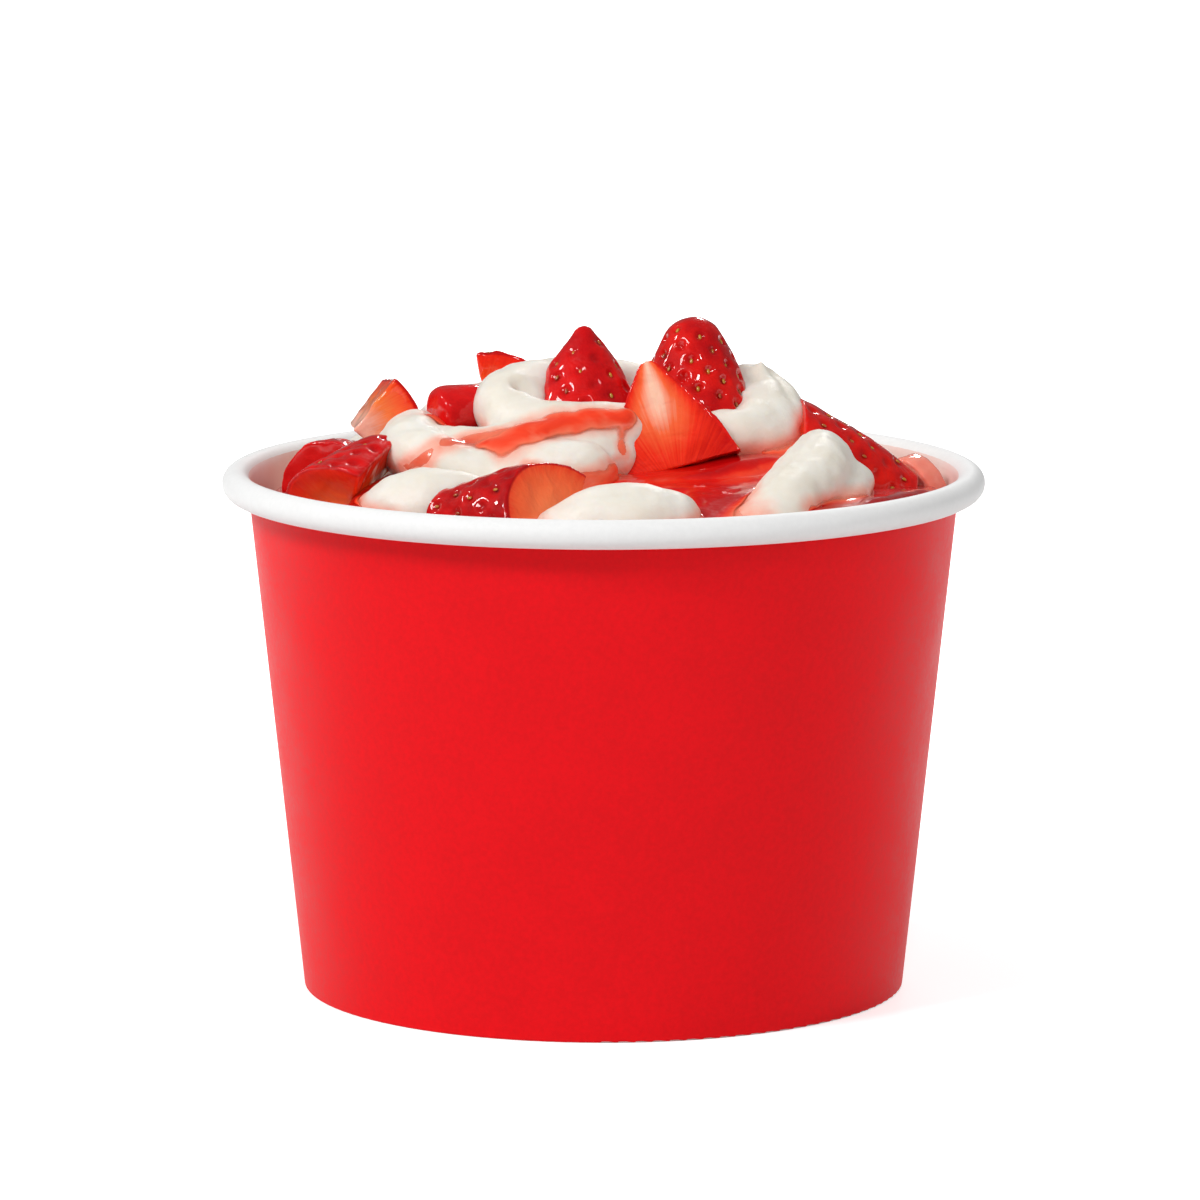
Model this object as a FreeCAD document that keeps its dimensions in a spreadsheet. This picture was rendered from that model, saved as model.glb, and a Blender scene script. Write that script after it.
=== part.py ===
"""Paper ice cream cup filled with soft ice cream and cut strawberries.

The cup is two pieces of paperboard.  The side wall is a rolled cone: its top edge is curled
outwards into the rim and its foot is folded in and up as a hem.  The base is a disc with a flange
turned down all round, which the hem holds against the wall, so the disc stands clear of the table.
The ice cream fills the cup and heaps up above the rim in soft folds.  Each fold is a bead laid
along an arc round the cup's axis.  Strawberry pieces, each a wedge of a berry cut across, are
pressed into it, and the ice cream is hollowed round each of them.

Frame: millimetres, +Z up, origin on the cup's axis in the plane that the foot stands on.
Bearings are in degrees about the axis: 0 is +X, 90 is +Y, the back, where the wall has its seam.
"""

import FreeCAD
import Part

import math
import os

import Sketcher

OUT_DIR = "parts"

CUP_SIZES = {
    "rimDiameter": 112.0,  # over the curl
    "cupHeight": 77.0,
    "wallTaper": 6.1,  # degrees off the vertical; the foot comes out 88.5 mm across
    "wallPaper": 0.45,  # board of the side wall
    "basePaper": 0.35,  # board of the base
    "curlDiameter": 4.2,
    "curlTuck": 0.15,  # from the curl's cut edge to the wall
    "footRounding": 0.4,
    "paperGap": 0.05,  # glue between two layers of board
    "baseRecess": 8.6,  # underside of the base above the foot
    "hemClear": 1.2,  # from the hem's upper edge to the base's underside
    "flangeDrop": 6.8,  # height of the base's flange
    "flangeBend": 0.9,  # outer radius of the bend between disc and flange
    "seamWidth": 7.0,  # overlap of the side seam
    "seamStep": 0.25,  # how far the overlap stands off the wall
    "seamFoot": 1.2,  # from the foot to the lower end of the overlap
    "seamHead": 0.8,  # from the upper end of the overlap to the curl
}

CREAM_SIZES = {
    "creamGap": 0.1,  # between ice cream and board
    "fillDrop": 10.0,  # level of the ice cream at the wall, below the rim
    "coreInset": 7.0,  # from the wall to the foot of the heap's core
    "coreRise": 4.0,  # top of the core above the rim
    "coreFlat": 6.0,  # radius of the flat on top of the core
    "foldEnd": 0.8,  # rounding of a fold's end, as a share of its thickness
}

# start, end: bearings of the bead's ends; out: distance of its centre line from the axis, as a
# share of the mouth's radius; rise: height of its middle above the rim; climb: degrees that the
# bead's far end leans up; thick: its radius.
FOLD_COLUMNS = ("Start", "End", "Out", "Rise", "Climb", "Thick")
FOLDS = {
    "rimFrontLeft": (-140.0, -112.0, 0.770, -3.0, -3.0, 7.0),
    "rimFront": (-106.0, -66.0, 0.780, -3.9, -2.0, 7.2),
    "rimRight": (-58.0, -24.0, 0.720, -0.6, 4.0, 6.2),
    "rimRightLow": (-30.0, 4.0, 0.780, -6.0, -3.0, 5.6),
    "rimBackRight": (30.0, 92.0, 0.755, -3.6, 2.0, 7.0),
    "rimBackLeft": (98.0, 158.0, 0.755, -3.8, -2.0, 7.0),
    "middleLeft": (163.0, 262.0, 0.470, 4.2, 3.0, 6.6),
    "middleRight": (-60.0, 2.0, 0.400, -3.0, 6.0, 6.6),
    "middleBack": (38.0, 166.0, 0.500, 3.4, 3.0, 6.8),
    "rightMound": (8.0, 44.0, 0.465, 6.6, -3.0, 7.8),
    "topLoop": (94.0, 212.0, 0.225, 8.2, -4.0, 6.4),
}

# Length, Width: the whole berry; Wedge: the angle that is left of it, 360 for a whole one;
# Low, High: where it is cut across, from the hulled end; Tip: radius of the berry's tip;
# Bearing, Out, Rise: place of the piece's middle, as for the folds; Yaw, Pitch: bearing and dip
# of the line that the skin faces along; Roll: turn about that line.
PIECE_COLUMNS = (
    "Length", "Width", "Wedge", "Low", "High", "Tip",
    "Bearing", "Out", "Rise", "Yaw", "Pitch", "Roll",
)
PIECES = {
    "berryFrontHalf": (27.0, 24.5, 180.0, 10.5, 27.0, 2.0, -42.5, 0.217, 8.2, 87.0, 17.5, -15.2),
    "berryTopTip": (30.0, 25.0, 360.0, 15.5, 30.0, 5.0, 21.5, 0.274, 14.2, 0.0, -0.0, -6.8),
    "berryLeftTip": (28.0, 25.0, 210.0, 16.0, 28.0, 1.6, 163.3, 0.040, 14.6, -75.3, -2.9, -0.6),
    "berryBackChunk": (30.0, 22.0, 90.0, 5.0, 14.0, 3.0, 126.4, 0.456, 7.8, 10.3, -56.7, -101.9),
    "berrySauced": (22.0, 11.0, 360.0, 4.5, 14.0, 3.0, 172.8, 0.401, 7.0, -78.7, -59.0, -78.2),
    "berryLeftCube": (30.0, 20.0, 90.0, 5.0, 14.0, 3.0, 164.3, 0.658, 5.2, 6.1, -6.0, -89.4),
    "berryLeftBack": (28.0, 16.0, 140.0, 6.0, 16.0, 3.0, 173.4, 0.770, -0.9, 166.0, -65.4, 81.0),
    "berryLeftFront": (30.0, 22.0, 110.0, 8.0, 22.0, 3.0, -158.8, 0.758, 1.4, -166.4, -50.7, 37.4),
    "berryFrontRim": (30.0, 24.0, 170.0, 14.0, 29.4, 2.4, -119.2, 0.783, 0.2, -100.3, -56.0, 79.2),
    "berryRightSlab": (30.0, 24.0, 90.0, 6.5, 26.0, 3.0, 0.3, 0.722, 0.4, -67.4, -49.1, -108.0),
    "berryRightSmall": (20.0, 12.0, 90.0, 5.0, 9.0, 2.5, 9.7, 0.917, -3.2, -63.4, -46.2, -66.2),
    "berryBackRight": (30.0, 23.0, 150.0, 10.0, 24.0, 3.0, 47.2, 0.710, 3.2, 50.2, -37.5, 84.6),
    "berryBackMiddle": (28.0, 22.0, 120.0, 5.0, 16.0, 3.0, 87.0, 0.735, 0.5, 80.5, -51.0, 110.0),
    "berryBackLeft": (30.0, 22.0, 180.0, 15.0, 30.0, 3.5, 126.0, 0.788, 2.5, 140.2, -37.5, 4.8),
}
BERRY_SIZES = {
    "berryShoulder": 5.0,  # radius of a berry's shoulder, beside the hull
    "wedgeMiddle": 0.3,  # from a thin wedge's edge to its middle, as a share of the berry's width
}

CURL_RADIUS = "(Sizes.curlDiameter / 2)"
CURL_X = "(Sizes.rimDiameter / 2 - Sizes.curlDiameter / 2)"
CURL_Z = "(Sizes.cupHeight - Sizes.curlDiameter / 2)"
MOUTH_RADIUS = "(Sizes.rimDiameter / 2 - Sizes.curlDiameter)"
FLANGE_SLOT = "(Sizes.basePaper + 2 * Sizes.paperGap)"
BASE_TOP = "(Sizes.baseRecess + Sizes.basePaper)"
HEM_TOP = "(Sizes.baseRecess - Sizes.hemClear)"
CREAM_BOTTOM = f"({BASE_TOP} + Sizes.creamGap)"
CREAM_LEVEL = "(Sizes.cupHeight - Sizes.fillDrop)"


def inside_radius(height):
    """Radius of the cup's inner face at a height, as an expression."""
    return (
        f"({CURL_X} - {CURL_RADIUS} / cos(Sizes.wallTaper)"
        f" - ({CURL_Z} - {height}) * tan(Sizes.wallTaper))"
    )


def table_sizes(table, columns):
    """Named sizes for a table whose rows are sub-parts and whose columns are their values."""
    return {
        row + column: value
        for row, values in table.items()
        for column, value in zip(columns, values)
    }


def add_sheet(doc):
    sheet = doc.addObject("Spreadsheet::Sheet", "Sizes")
    sizes = {
        **CUP_SIZES,
        **CREAM_SIZES,
        **BERRY_SIZES,
        **table_sizes(FOLDS, FOLD_COLUMNS),
        **table_sizes(PIECES, PIECE_COLUMNS),
    }
    for line, (name, value) in enumerate(sizes.items(), start=1):
        sheet.set(f"A{line}", name)
        sheet.set(f"B{line}", str(value))
        sheet.setAlias(f"B{line}", name)
    doc.recompute()


def add_body(doc, name):
    body = doc.addObject("PartDesign::Body", name)
    body.Label = name
    return body


def add_sketch(body, name, plane):
    """Sketch on one of the body's own origin planes."""
    sketch = body.newObject("Sketcher::SketchObject", name)
    origin_plane = next(f for f in body.Origin.OriginFeatures if f.Role == plane)
    sketch.AttachmentSupport = [(origin_plane, "")]
    sketch.MapMode = "FlatFace"
    return sketch


def number(sketch, expression):
    """Present value of an expression."""
    return float(sketch.evalExpression(expression))


def line(sketch, start, end):
    segment = Part.LineSegment(FreeCAD.Vector(*start, 0), FreeCAD.Vector(*end, 0))
    return sketch.addGeometry(segment, False)


def arc(sketch, centre, radius, start_angle, end_angle):
    """Counter-clockwise arc, its angles in degrees."""
    circle = Part.Circle(FreeCAD.Vector(*centre, 0), FreeCAD.Vector(0, 0, 1), radius)
    curve = Part.ArcOfCircle(circle, math.radians(start_angle), math.radians(end_angle))
    return sketch.addGeometry(curve, False)


def tie(sketch, kind, *references):
    sketch.addConstraint(Sketcher.Constraint(kind, *references))


def dimension(sketch, name, kind, references, expression):
    """Dimension bound to the sheet."""
    value = number(sketch, expression)
    index = sketch.addConstraint(Sketcher.Constraint(kind, *references, value))
    sketch.renameConstraint(index, name)
    sketch.setExpression("Constraints." + name, expression)


def revolve(body, sketch, name, angle=None):
    """Solid turned about the sketch's vertical axis, evenly to both sides of its plane."""
    feature = body.newObject("PartDesign::Revolution", name)
    feature.Profile = sketch
    feature.ReferenceAxis = (sketch, ["V_Axis"])
    feature.Angle = 360
    if angle:
        feature.Midplane = True
        feature.setExpression("Angle", angle)
    return feature


START, END, CENTRE = 1, 2, 3  # points of a sketched line or arc
X_AXIS, Y_AXIS = -1, -2
ORIGIN = (-1, 1)


def draw_wall(sketch):
    """Section of the side wall: curl, cone, foot and hem, one board thick all along."""
    taper = number(sketch, "Sizes.wallTaper")
    paper = number(sketch, "Sizes.wallPaper")
    curl = number(sketch, CURL_RADIUS)
    centre = (number(sketch, CURL_X), number(sketch, CURL_Z))
    slot = number(sketch, FLANGE_SLOT)
    rounding = number(sketch, "Sizes.footRounding")
    hem_top = number(sketch, HEM_TOP)
    lean = math.tan(math.radians(taper))
    foot = number(sketch, inside_radius("0"))
    tuck = number(sketch, "Sizes.curlTuck")
    cut = -taper - math.degrees(math.acos(-(curl - paper - tuck) / curl))
    leave = 180 - taper

    def on_circle(radius, angle):
        return (
            centre[0] + radius * math.cos(math.radians(angle)),
            centre[1] + radius * math.sin(math.radians(angle)),
        )

    def beside_wall(offset, height):
        return (foot + offset + height * lean, height)

    inside = line(sketch, beside_wall(0, paper), on_circle(curl, leave))
    curl_outer = arc(sketch, centre, curl, cut, leave)
    curl_cut = line(sketch, on_circle(curl, cut), on_circle(curl - paper, cut))
    curl_inner = arc(sketch, centre, curl - paper, cut, leave)
    outside = line(sketch, on_circle(curl - paper, leave), beside_wall(paper, rounding))
    outer_centre = (foot + paper - rounding, rounding)
    outer_bend = arc(sketch, outer_centre, rounding, -90, -taper)
    inner_centre = (foot - slot - paper + rounding, rounding)
    inner_bend = arc(sketch, inner_centre, rounding, leave, 270)
    sole = line(sketch, (outer_centre[0], 0), (inner_centre[0], 0))
    hem_face = line(sketch, beside_wall(-slot - paper, rounding), beside_wall(-slot - paper, hem_top))
    hem_edge = line(sketch, beside_wall(-slot - paper, hem_top), beside_wall(-slot, hem_top))
    hem_back = line(sketch, beside_wall(-slot, hem_top), beside_wall(-slot, paper))
    slot_floor = line(sketch, beside_wall(-slot, paper), beside_wall(0, paper))

    tie(sketch, "Tangent", inside, END, curl_outer, END)
    tie(sketch, "Coincident", curl_outer, START, curl_cut, START)
    tie(sketch, "Coincident", curl_cut, END, curl_inner, START)
    tie(sketch, "Coincident", curl_outer, CENTRE, curl_inner, CENTRE)
    tie(sketch, "PointOnObject", curl_outer, CENTRE, curl_cut)
    tie(sketch, "Tangent", curl_inner, END, outside, START)
    tie(sketch, "Tangent", outside, END, outer_bend, END)
    tie(sketch, "Tangent", outer_bend, START, sole, START)
    tie(sketch, "Tangent", sole, END, inner_bend, END)
    tie(sketch, "Tangent", inner_bend, START, hem_face, START)
    tie(sketch, "Coincident", hem_face, END, hem_edge, START)
    tie(sketch, "Coincident", hem_edge, END, hem_back, START)
    tie(sketch, "Coincident", hem_back, END, slot_floor, START)
    tie(sketch, "Coincident", slot_floor, END, inside, START)
    tie(sketch, "Parallel", outside, inside)
    tie(sketch, "Parallel", hem_face, inside)
    tie(sketch, "Parallel", hem_back, inside)
    tie(sketch, "Perpendicular", hem_edge, hem_face)
    tie(sketch, "Horizontal", slot_floor)
    tie(sketch, "Equal", outer_bend, inner_bend)
    tie(sketch, "PointOnObject", sole, START, X_AXIS)
    tie(sketch, "Horizontal", sole)
    dimension(sketch, "curlX", "DistanceX", (*ORIGIN, curl_outer, CENTRE), CURL_X)
    dimension(sketch, "curlZ", "DistanceY", (*ORIGIN, curl_outer, CENTRE), CURL_Z)
    dimension(sketch, "curlRadius", "Radius", (curl_outer,), CURL_RADIUS)
    dimension(sketch, "curlInside", "Radius", (curl_inner,), f"{CURL_RADIUS} - Sizes.wallPaper")
    dimension(sketch, "tuck", "Distance", (curl_cut, START, outside), "Sizes.curlTuck")
    dimension(sketch, "wallFoot", "DistanceX", (*ORIGIN, inside, START),
              inside_radius("Sizes.wallPaper"))
    dimension(sketch, "slotFloor", "DistanceY", (*ORIGIN, slot_floor, END), "Sizes.wallPaper")
    dimension(sketch, "slotWidth", "Distance", (hem_back, END, inside), FLANGE_SLOT)
    dimension(sketch, "hemPaper", "Distance", (hem_face, END, hem_back), "Sizes.wallPaper")
    dimension(sketch, "hemHeight", "DistanceY", (*ORIGIN, hem_face, END), HEM_TOP)
    dimension(sketch, "footBend", "Radius", (outer_bend,), "Sizes.footRounding")


def draw_seam(sketch):
    """Section of the seam's overlap, from mid board to its face."""
    foot_z = "Sizes.seamFoot"
    head_z = "(Sizes.cupHeight - Sizes.curlDiameter - Sizes.seamHead)"
    inner = "Sizes.wallPaper / 2 / cos(Sizes.wallTaper)"
    outer = "(Sizes.wallPaper + Sizes.seamStep) / cos(Sizes.wallTaper)"
    corners = [(inner, foot_z), (outer, foot_z), (outer, head_z), (inner, head_z)]
    spots = [(f"{inside_radius(z)} + {offset}", z) for offset, z in corners]
    places = [(number(sketch, x), number(sketch, z)) for x, z in spots]
    sides = [line(sketch, places[i], places[(i + 1) % 4]) for i in range(4)]
    for i, (x, z) in enumerate(spots):
        tie(sketch, "Coincident", sides[i - 1], END, sides[i], START)
        dimension(sketch, f"cornerX{i}", "DistanceX", (*ORIGIN, sides[i], START), x)
        dimension(sketch, f"cornerZ{i}", "DistanceY", (*ORIGIN, sides[i], START), z)


def add_side_wall(doc):
    body = add_body(doc, "cupSideWall")
    section = add_sketch(body, "wallSection", "XZ_Plane")
    draw_wall(section)
    doc.recompute()
    revolve(body, section, "wallTurn")
    overlap = add_sketch(body, "seamSection", "YZ_Plane")
    draw_seam(overlap)
    doc.recompute()
    turn = f"Sizes.seamWidth / {inside_radius('Sizes.cupHeight / 2')} * 180 / pi"
    revolve(body, overlap, "seamTurn", turn)
    return body


def draw_base(sketch):
    """Section of the base: disc, bend and flange."""
    taper = number(sketch, "Sizes.wallTaper")
    paper = number(sketch, "Sizes.basePaper")
    bend = number(sketch, "Sizes.flangeBend")
    top = number(sketch, BASE_TOP)
    gap = number(sketch, "Sizes.paperGap")
    bottom = top - number(sketch, "Sizes.flangeDrop")
    lean = math.tan(math.radians(taper))
    foot = number(sketch, inside_radius("0")) - gap
    corner = foot + (top - bend) * lean - bend

    def beside_wall(offset, height):
        return (foot - offset + height * lean, height)

    face = line(sketch, (0, top), (corner, top))
    outer_bend = arc(sketch, (corner, top - bend), bend, -taper, 90)
    outer = line(sketch, beside_wall(0, top - bend), beside_wall(0, bottom))
    edge = line(sketch, beside_wall(0, bottom), beside_wall(paper, bottom))
    inner = line(sketch, beside_wall(paper, bottom), beside_wall(paper, top - bend))
    inner_bend = arc(sketch, (corner, top - bend), bend - paper, -taper, 90)
    underside = line(sketch, (corner, top - paper), (0, top - paper))
    axis = line(sketch, (0, top - paper), (0, top))

    tie(sketch, "Coincident", axis, END, face, START)
    tie(sketch, "Tangent", face, END, outer_bend, END)
    tie(sketch, "Tangent", outer_bend, START, outer, START)
    tie(sketch, "Coincident", outer, END, edge, START)
    tie(sketch, "Coincident", edge, END, inner, START)
    tie(sketch, "Tangent", inner, END, inner_bend, START)
    tie(sketch, "Tangent", inner_bend, END, underside, START)
    tie(sketch, "Coincident", underside, END, axis, START)
    tie(sketch, "Coincident", outer_bend, CENTRE, inner_bend, CENTRE)
    tie(sketch, "Parallel", inner, outer)
    tie(sketch, "Perpendicular", edge, outer)
    tie(sketch, "Horizontal", face)
    tie(sketch, "Horizontal", underside)
    tie(sketch, "PointOnObject", axis, START, Y_AXIS)
    tie(sketch, "PointOnObject", axis, END, Y_AXIS)
    dimension(sketch, "discTop", "DistanceY", (*ORIGIN, axis, END), BASE_TOP)
    dimension(sketch, "bend", "Radius", (outer_bend,), "Sizes.flangeBend")
    dimension(sketch, "bendInside", "Radius", (inner_bend,), "Sizes.flangeBend - Sizes.basePaper")
    flange_foot = f"({BASE_TOP} - Sizes.flangeDrop)"
    gap_across = "Sizes.paperGap / cos(Sizes.wallTaper)"
    dimension(sketch, "flangeFoot", "DistanceY", (*ORIGIN, outer, END), flange_foot)
    dimension(sketch, "flangeX", "DistanceX", (*ORIGIN, outer, END),
              f"{inside_radius(flange_foot)} - {gap_across}")
    dimension(sketch, "flangeLean", "Angle", (Y_AXIS, outer), "180 - Sizes.wallTaper")


def add_base(doc):
    body = add_body(doc, "cupBase")
    section = add_sketch(body, "baseSection", "XZ_Plane")
    draw_base(section)
    doc.recompute()
    revolve(body, section, "baseTurn")
    return body


def draw_core(sketch):
    """Section of the fill, which follows the wall, and of the rounded core of the heap."""
    gap = "Sizes.creamGap / cos(Sizes.wallTaper)"
    low_x = f"{inside_radius(CREAM_BOTTOM)} - {gap}"
    high_x = f"{inside_radius(CREAM_LEVEL)} - {gap}"
    dome_x = f"{inside_radius(CREAM_LEVEL)} - Sizes.coreInset"
    dome_top = "Sizes.cupHeight + Sizes.coreRise"
    bottom, level = number(sketch, CREAM_BOTTOM), number(sketch, CREAM_LEVEL)
    edge, crest = number(sketch, dome_x), number(sketch, dome_top)
    flat = number(sketch, "Sizes.coreFlat")
    depth = (edge**2 - flat**2 + (crest - level) ** 2) / (2 * (crest - level))
    start = math.degrees(math.atan2(level - crest + depth, edge))
    finish = math.degrees(math.atan2(depth, flat))

    floor = line(sketch, (0, bottom), (number(sketch, low_x), bottom))
    side = line(sketch, (number(sketch, low_x), bottom), (number(sketch, high_x), level))
    shelf = line(sketch, (number(sketch, high_x), level), (edge, level))
    dome = arc(sketch, (0, crest - depth), math.hypot(flat, depth), start, finish)
    top = line(sketch, (flat, crest), (0, crest))
    axis = line(sketch, (0, crest), (0, bottom))

    tie(sketch, "Coincident", floor, END, side, START)
    tie(sketch, "Coincident", side, END, shelf, START)
    tie(sketch, "Coincident", shelf, END, dome, START)
    tie(sketch, "Coincident", dome, END, top, START)
    tie(sketch, "Coincident", top, END, axis, START)
    tie(sketch, "Coincident", axis, END, floor, START)
    for level_line in (floor, shelf, top):
        tie(sketch, "Horizontal", level_line)
    tie(sketch, "PointOnObject", floor, START, Y_AXIS)
    tie(sketch, "PointOnObject", dome, CENTRE, Y_AXIS)
    tie(sketch, "PointOnObject", top, END, Y_AXIS)
    dimension(sketch, "bottom", "DistanceY", (*ORIGIN, floor, START), CREAM_BOTTOM)
    dimension(sketch, "lowX", "DistanceX", (*ORIGIN, floor, END), low_x)
    dimension(sketch, "highX", "DistanceX", (*ORIGIN, side, END), high_x)
    dimension(sketch, "level", "DistanceY", (*ORIGIN, side, END), CREAM_LEVEL)
    dimension(sketch, "domeX", "DistanceX", (*ORIGIN, dome, START), dome_x)
    dimension(sketch, "topX", "DistanceX", (*ORIGIN, dome, END), "Sizes.coreFlat")
    dimension(sketch, "domeTop", "DistanceY", (*ORIGIN, dome, END), dome_top)


def add_core(doc):
    body = add_body(doc, "creamCore")
    section = add_sketch(body, "coreSection", "XZ_Plane")
    draw_core(section)
    doc.recompute()
    revolve(body, section, "coreTurn")
    return body


def add_fold(doc, name):
    """Bead of cream along an arc round the cup's axis, its ends rounded off."""
    body = add_body(doc, name)
    section = add_sketch(body, name + "Section", "XZ_Plane")
    out = f"Sizes.{name}Out * {MOUTH_RADIUS}"
    thick = f"Sizes.{name}Thick"
    centre = FreeCAD.Vector(number(section, out), 0, 0)
    circle = Part.Circle(centre, FreeCAD.Vector(0, 0, 1), number(section, thick))
    ring = section.addGeometry(circle, False)
    tie(section, "PointOnObject", ring, CENTRE, X_AXIS)
    dimension(section, "out", "DistanceX", (*ORIGIN, ring, CENTRE), out)
    dimension(section, "thick", "Radius", (ring,), thick)
    doc.recompute()
    turn = revolve(body, section, name + "Turn", f"Sizes.{name}End - Sizes.{name}Start")
    doc.recompute()
    ends = [
        f"Edge{i}"
        for i, edge in enumerate(turn.Shape.Edges, start=1)
        if abs(edge.Curve.Radius - circle.Radius) < 1e-6 and abs(edge.CenterOfMass.z) < 1e-6
        and edge.isClosed() and edge.BoundBox.ZLength > circle.Radius
    ]
    rounding = body.newObject("PartDesign::Fillet", name + "Ends")
    rounding.Base = (turn, ends)
    rounding.setExpression("Radius", f"{thick} * Sizes.foldEnd")
    middle = f"(Sizes.{name}Start + Sizes.{name}End) / 2"
    body.setExpression(
        "Placement",
        f"placement(vector(0; 0; Sizes.cupHeight + Sizes.{name}Rise);"
        f" rotation(vector(cos({middle}); sin({middle}); 0); Sizes.{name}Climb)"
        f" * rotation(vector(0; 0; 1); {middle}))",
    )
    return body


def draw_berry(sketch, name):
    """Half outline of a berry: hulled end, shoulder, flank and tip."""
    length = number(sketch, f"Sizes.{name}Length")
    shoulder, tip = number(sketch, "Sizes.berryShoulder"), number(sketch, f"Sizes.{name}Tip")
    shoulder_x = f"Sizes.{name}Width / 2 - Sizes.berryShoulder"
    centre = (number(sketch, shoulder_x), shoulder)
    tip_centre = (0, length - tip)
    apart = math.hypot(centre[0], tip_centre[1] - centre[1])
    swing = math.atan2(tip_centre[1] - centre[1], -centre[0])
    flank = math.degrees(swing - math.acos((shoulder - tip) / apart))

    def on_flank(middle, radius):
        return (
            middle[0] + radius * math.cos(math.radians(flank)),
            middle[1] + radius * math.sin(math.radians(flank)),
        )

    hull = line(sketch, (0, 0), (centre[0], 0))
    shoulder_arc = arc(sketch, centre, shoulder, -90, flank)
    side = line(sketch, on_flank(centre, shoulder), on_flank(tip_centre, tip))
    tip_arc = arc(sketch, tip_centre, tip, flank, 90)
    axis = line(sketch, (0, length), (0, 0))

    tie(sketch, "Coincident", hull, START, *ORIGIN)
    tie(sketch, "Horizontal", hull)
    tie(sketch, "Tangent", hull, END, shoulder_arc, START)
    tie(sketch, "Tangent", shoulder_arc, END, side, START)
    tie(sketch, "Tangent", side, END, tip_arc, START)
    tie(sketch, "Coincident", tip_arc, END, axis, START)
    tie(sketch, "Coincident", axis, END, hull, START)
    tie(sketch, "PointOnObject", tip_arc, CENTRE, Y_AXIS)
    tie(sketch, "PointOnObject", tip_arc, END, Y_AXIS)
    dimension(sketch, "shoulder", "Radius", (shoulder_arc,), "Sizes.berryShoulder")
    dimension(sketch, "shoulderX", "DistanceX", (*ORIGIN, shoulder_arc, CENTRE), shoulder_x)
    dimension(sketch, "tip", "Radius", (tip_arc,), f"Sizes.{name}Tip")
    dimension(sketch, "length", "DistanceY", (*ORIGIN, tip_arc, END), f"Sizes.{name}Length")


def add_berry_piece(doc, name):
    """Wedge of a berry, cut across at both ends, in its place on the cream."""
    body = add_body(doc, name + "Wedge")
    outline = add_sketch(body, name + "Outline", "XZ_Plane")
    draw_berry(outline, name)
    doc.recompute()
    revolve(body, outline, name + "Turn", f"Sizes.{name}Wedge")
    slab = doc.addObject("Part::Box", name + "Slab")
    for side in ("Length", "Width"):
        slab.setExpression(side, f"2 * Sizes.{name}Width")
    slab.setExpression("Height", f"Sizes.{name}High - Sizes.{name}Low")
    slab.setExpression(
        "Placement",
        f"placement(vector(-Sizes.{name}Width; -Sizes.{name}Width; Sizes.{name}Low);"
        " rotation(0; 0; 0))",
    )
    piece = doc.addObject("Part::Common", name)
    piece.Label = name
    piece.Base = body
    piece.Tool = slab
    out = f"Sizes.{name}Out * {MOUTH_RADIUS}"
    inset = f"Sizes.wedgeMiddle * Sizes.{name}Width * (1 - Sizes.{name}Wedge / 360)"
    piece.setExpression(
        "Placement",
        f"placement(vector({out} * cos(Sizes.{name}Bearing); {out} * sin(Sizes.{name}Bearing);"
        f" Sizes.cupHeight + Sizes.{name}Rise);"
        f" rotation(Sizes.{name}Yaw; Sizes.{name}Pitch; Sizes.{name}Roll))"
        f" * placement(vector(-{inset}; 0; -(Sizes.{name}Low + Sizes.{name}High) / 2);"
        " rotation(0; 0; 0))",
    )
    return piece


def add_ice_cream(doc, core, folds, pieces):
    """Fill and folds as one mass, hollowed where the berry pieces are pressed in."""
    heap = doc.addObject("Part::MultiFuse", "creamHeap")
    heap.Shapes = [core, *folds]
    heap.Refine = False
    berries = doc.addObject("Part::Compound", "pressedBerries")
    berries.Links = pieces
    cream = doc.addObject("Part::Cut", "iceCream")
    cream.Label = "iceCream"
    cream.Base = heap
    cream.Tool = berries
    cream.Refine = False
    return cream


def check_document(doc):
    doc.recompute()
    for item in doc.Objects:
        if "Invalid" in item.State or "Error" in item.State:
            raise RuntimeError(f"{item.Label} failed: {item.State}")


def export(sub_parts):
    os.makedirs(OUT_DIR, exist_ok=True)
    for item in sub_parts:
        shape = item.Shape
        if shape.isNull() or not shape.isValid() or len(shape.Solids) != 1:
            raise RuntimeError(f"{item.Label} is not one valid solid")
        shape.exportStep(f"{OUT_DIR}/{item.Label}.step")
        print(f"{item.Label}: {shape.Volume / 1000:.2f} cm3")


def main():
    doc = FreeCAD.newDocument("IceCreamCup")
    add_sheet(doc)
    wall = add_side_wall(doc)
    base = add_base(doc)
    core = add_core(doc)
    folds = [add_fold(doc, name) for name in FOLDS]
    pieces = [add_berry_piece(doc, name) for name in PIECES]
    cream = add_ice_cream(doc, core, folds, pieces)
    check_document(doc)
    export([wall, base, cream, *pieces])


main()
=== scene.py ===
import math
import random

import bmesh
import bpy
from mathutils import Matrix, Vector, noise


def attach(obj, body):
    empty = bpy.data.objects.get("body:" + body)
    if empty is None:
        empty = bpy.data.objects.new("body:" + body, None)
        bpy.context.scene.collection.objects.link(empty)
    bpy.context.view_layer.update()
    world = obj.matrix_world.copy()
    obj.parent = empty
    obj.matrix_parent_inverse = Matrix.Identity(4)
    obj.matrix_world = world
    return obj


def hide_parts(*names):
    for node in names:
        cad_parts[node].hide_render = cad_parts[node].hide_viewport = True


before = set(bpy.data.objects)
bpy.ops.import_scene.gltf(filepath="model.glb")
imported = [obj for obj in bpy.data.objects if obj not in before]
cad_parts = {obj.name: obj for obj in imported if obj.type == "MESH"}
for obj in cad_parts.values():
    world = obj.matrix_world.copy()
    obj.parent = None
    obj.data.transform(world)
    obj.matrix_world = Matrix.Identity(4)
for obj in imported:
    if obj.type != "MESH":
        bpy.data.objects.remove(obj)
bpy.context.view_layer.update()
print("cup frame loaded")

mm = 0.001
goldenAngle = math.radians(137.508)

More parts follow.
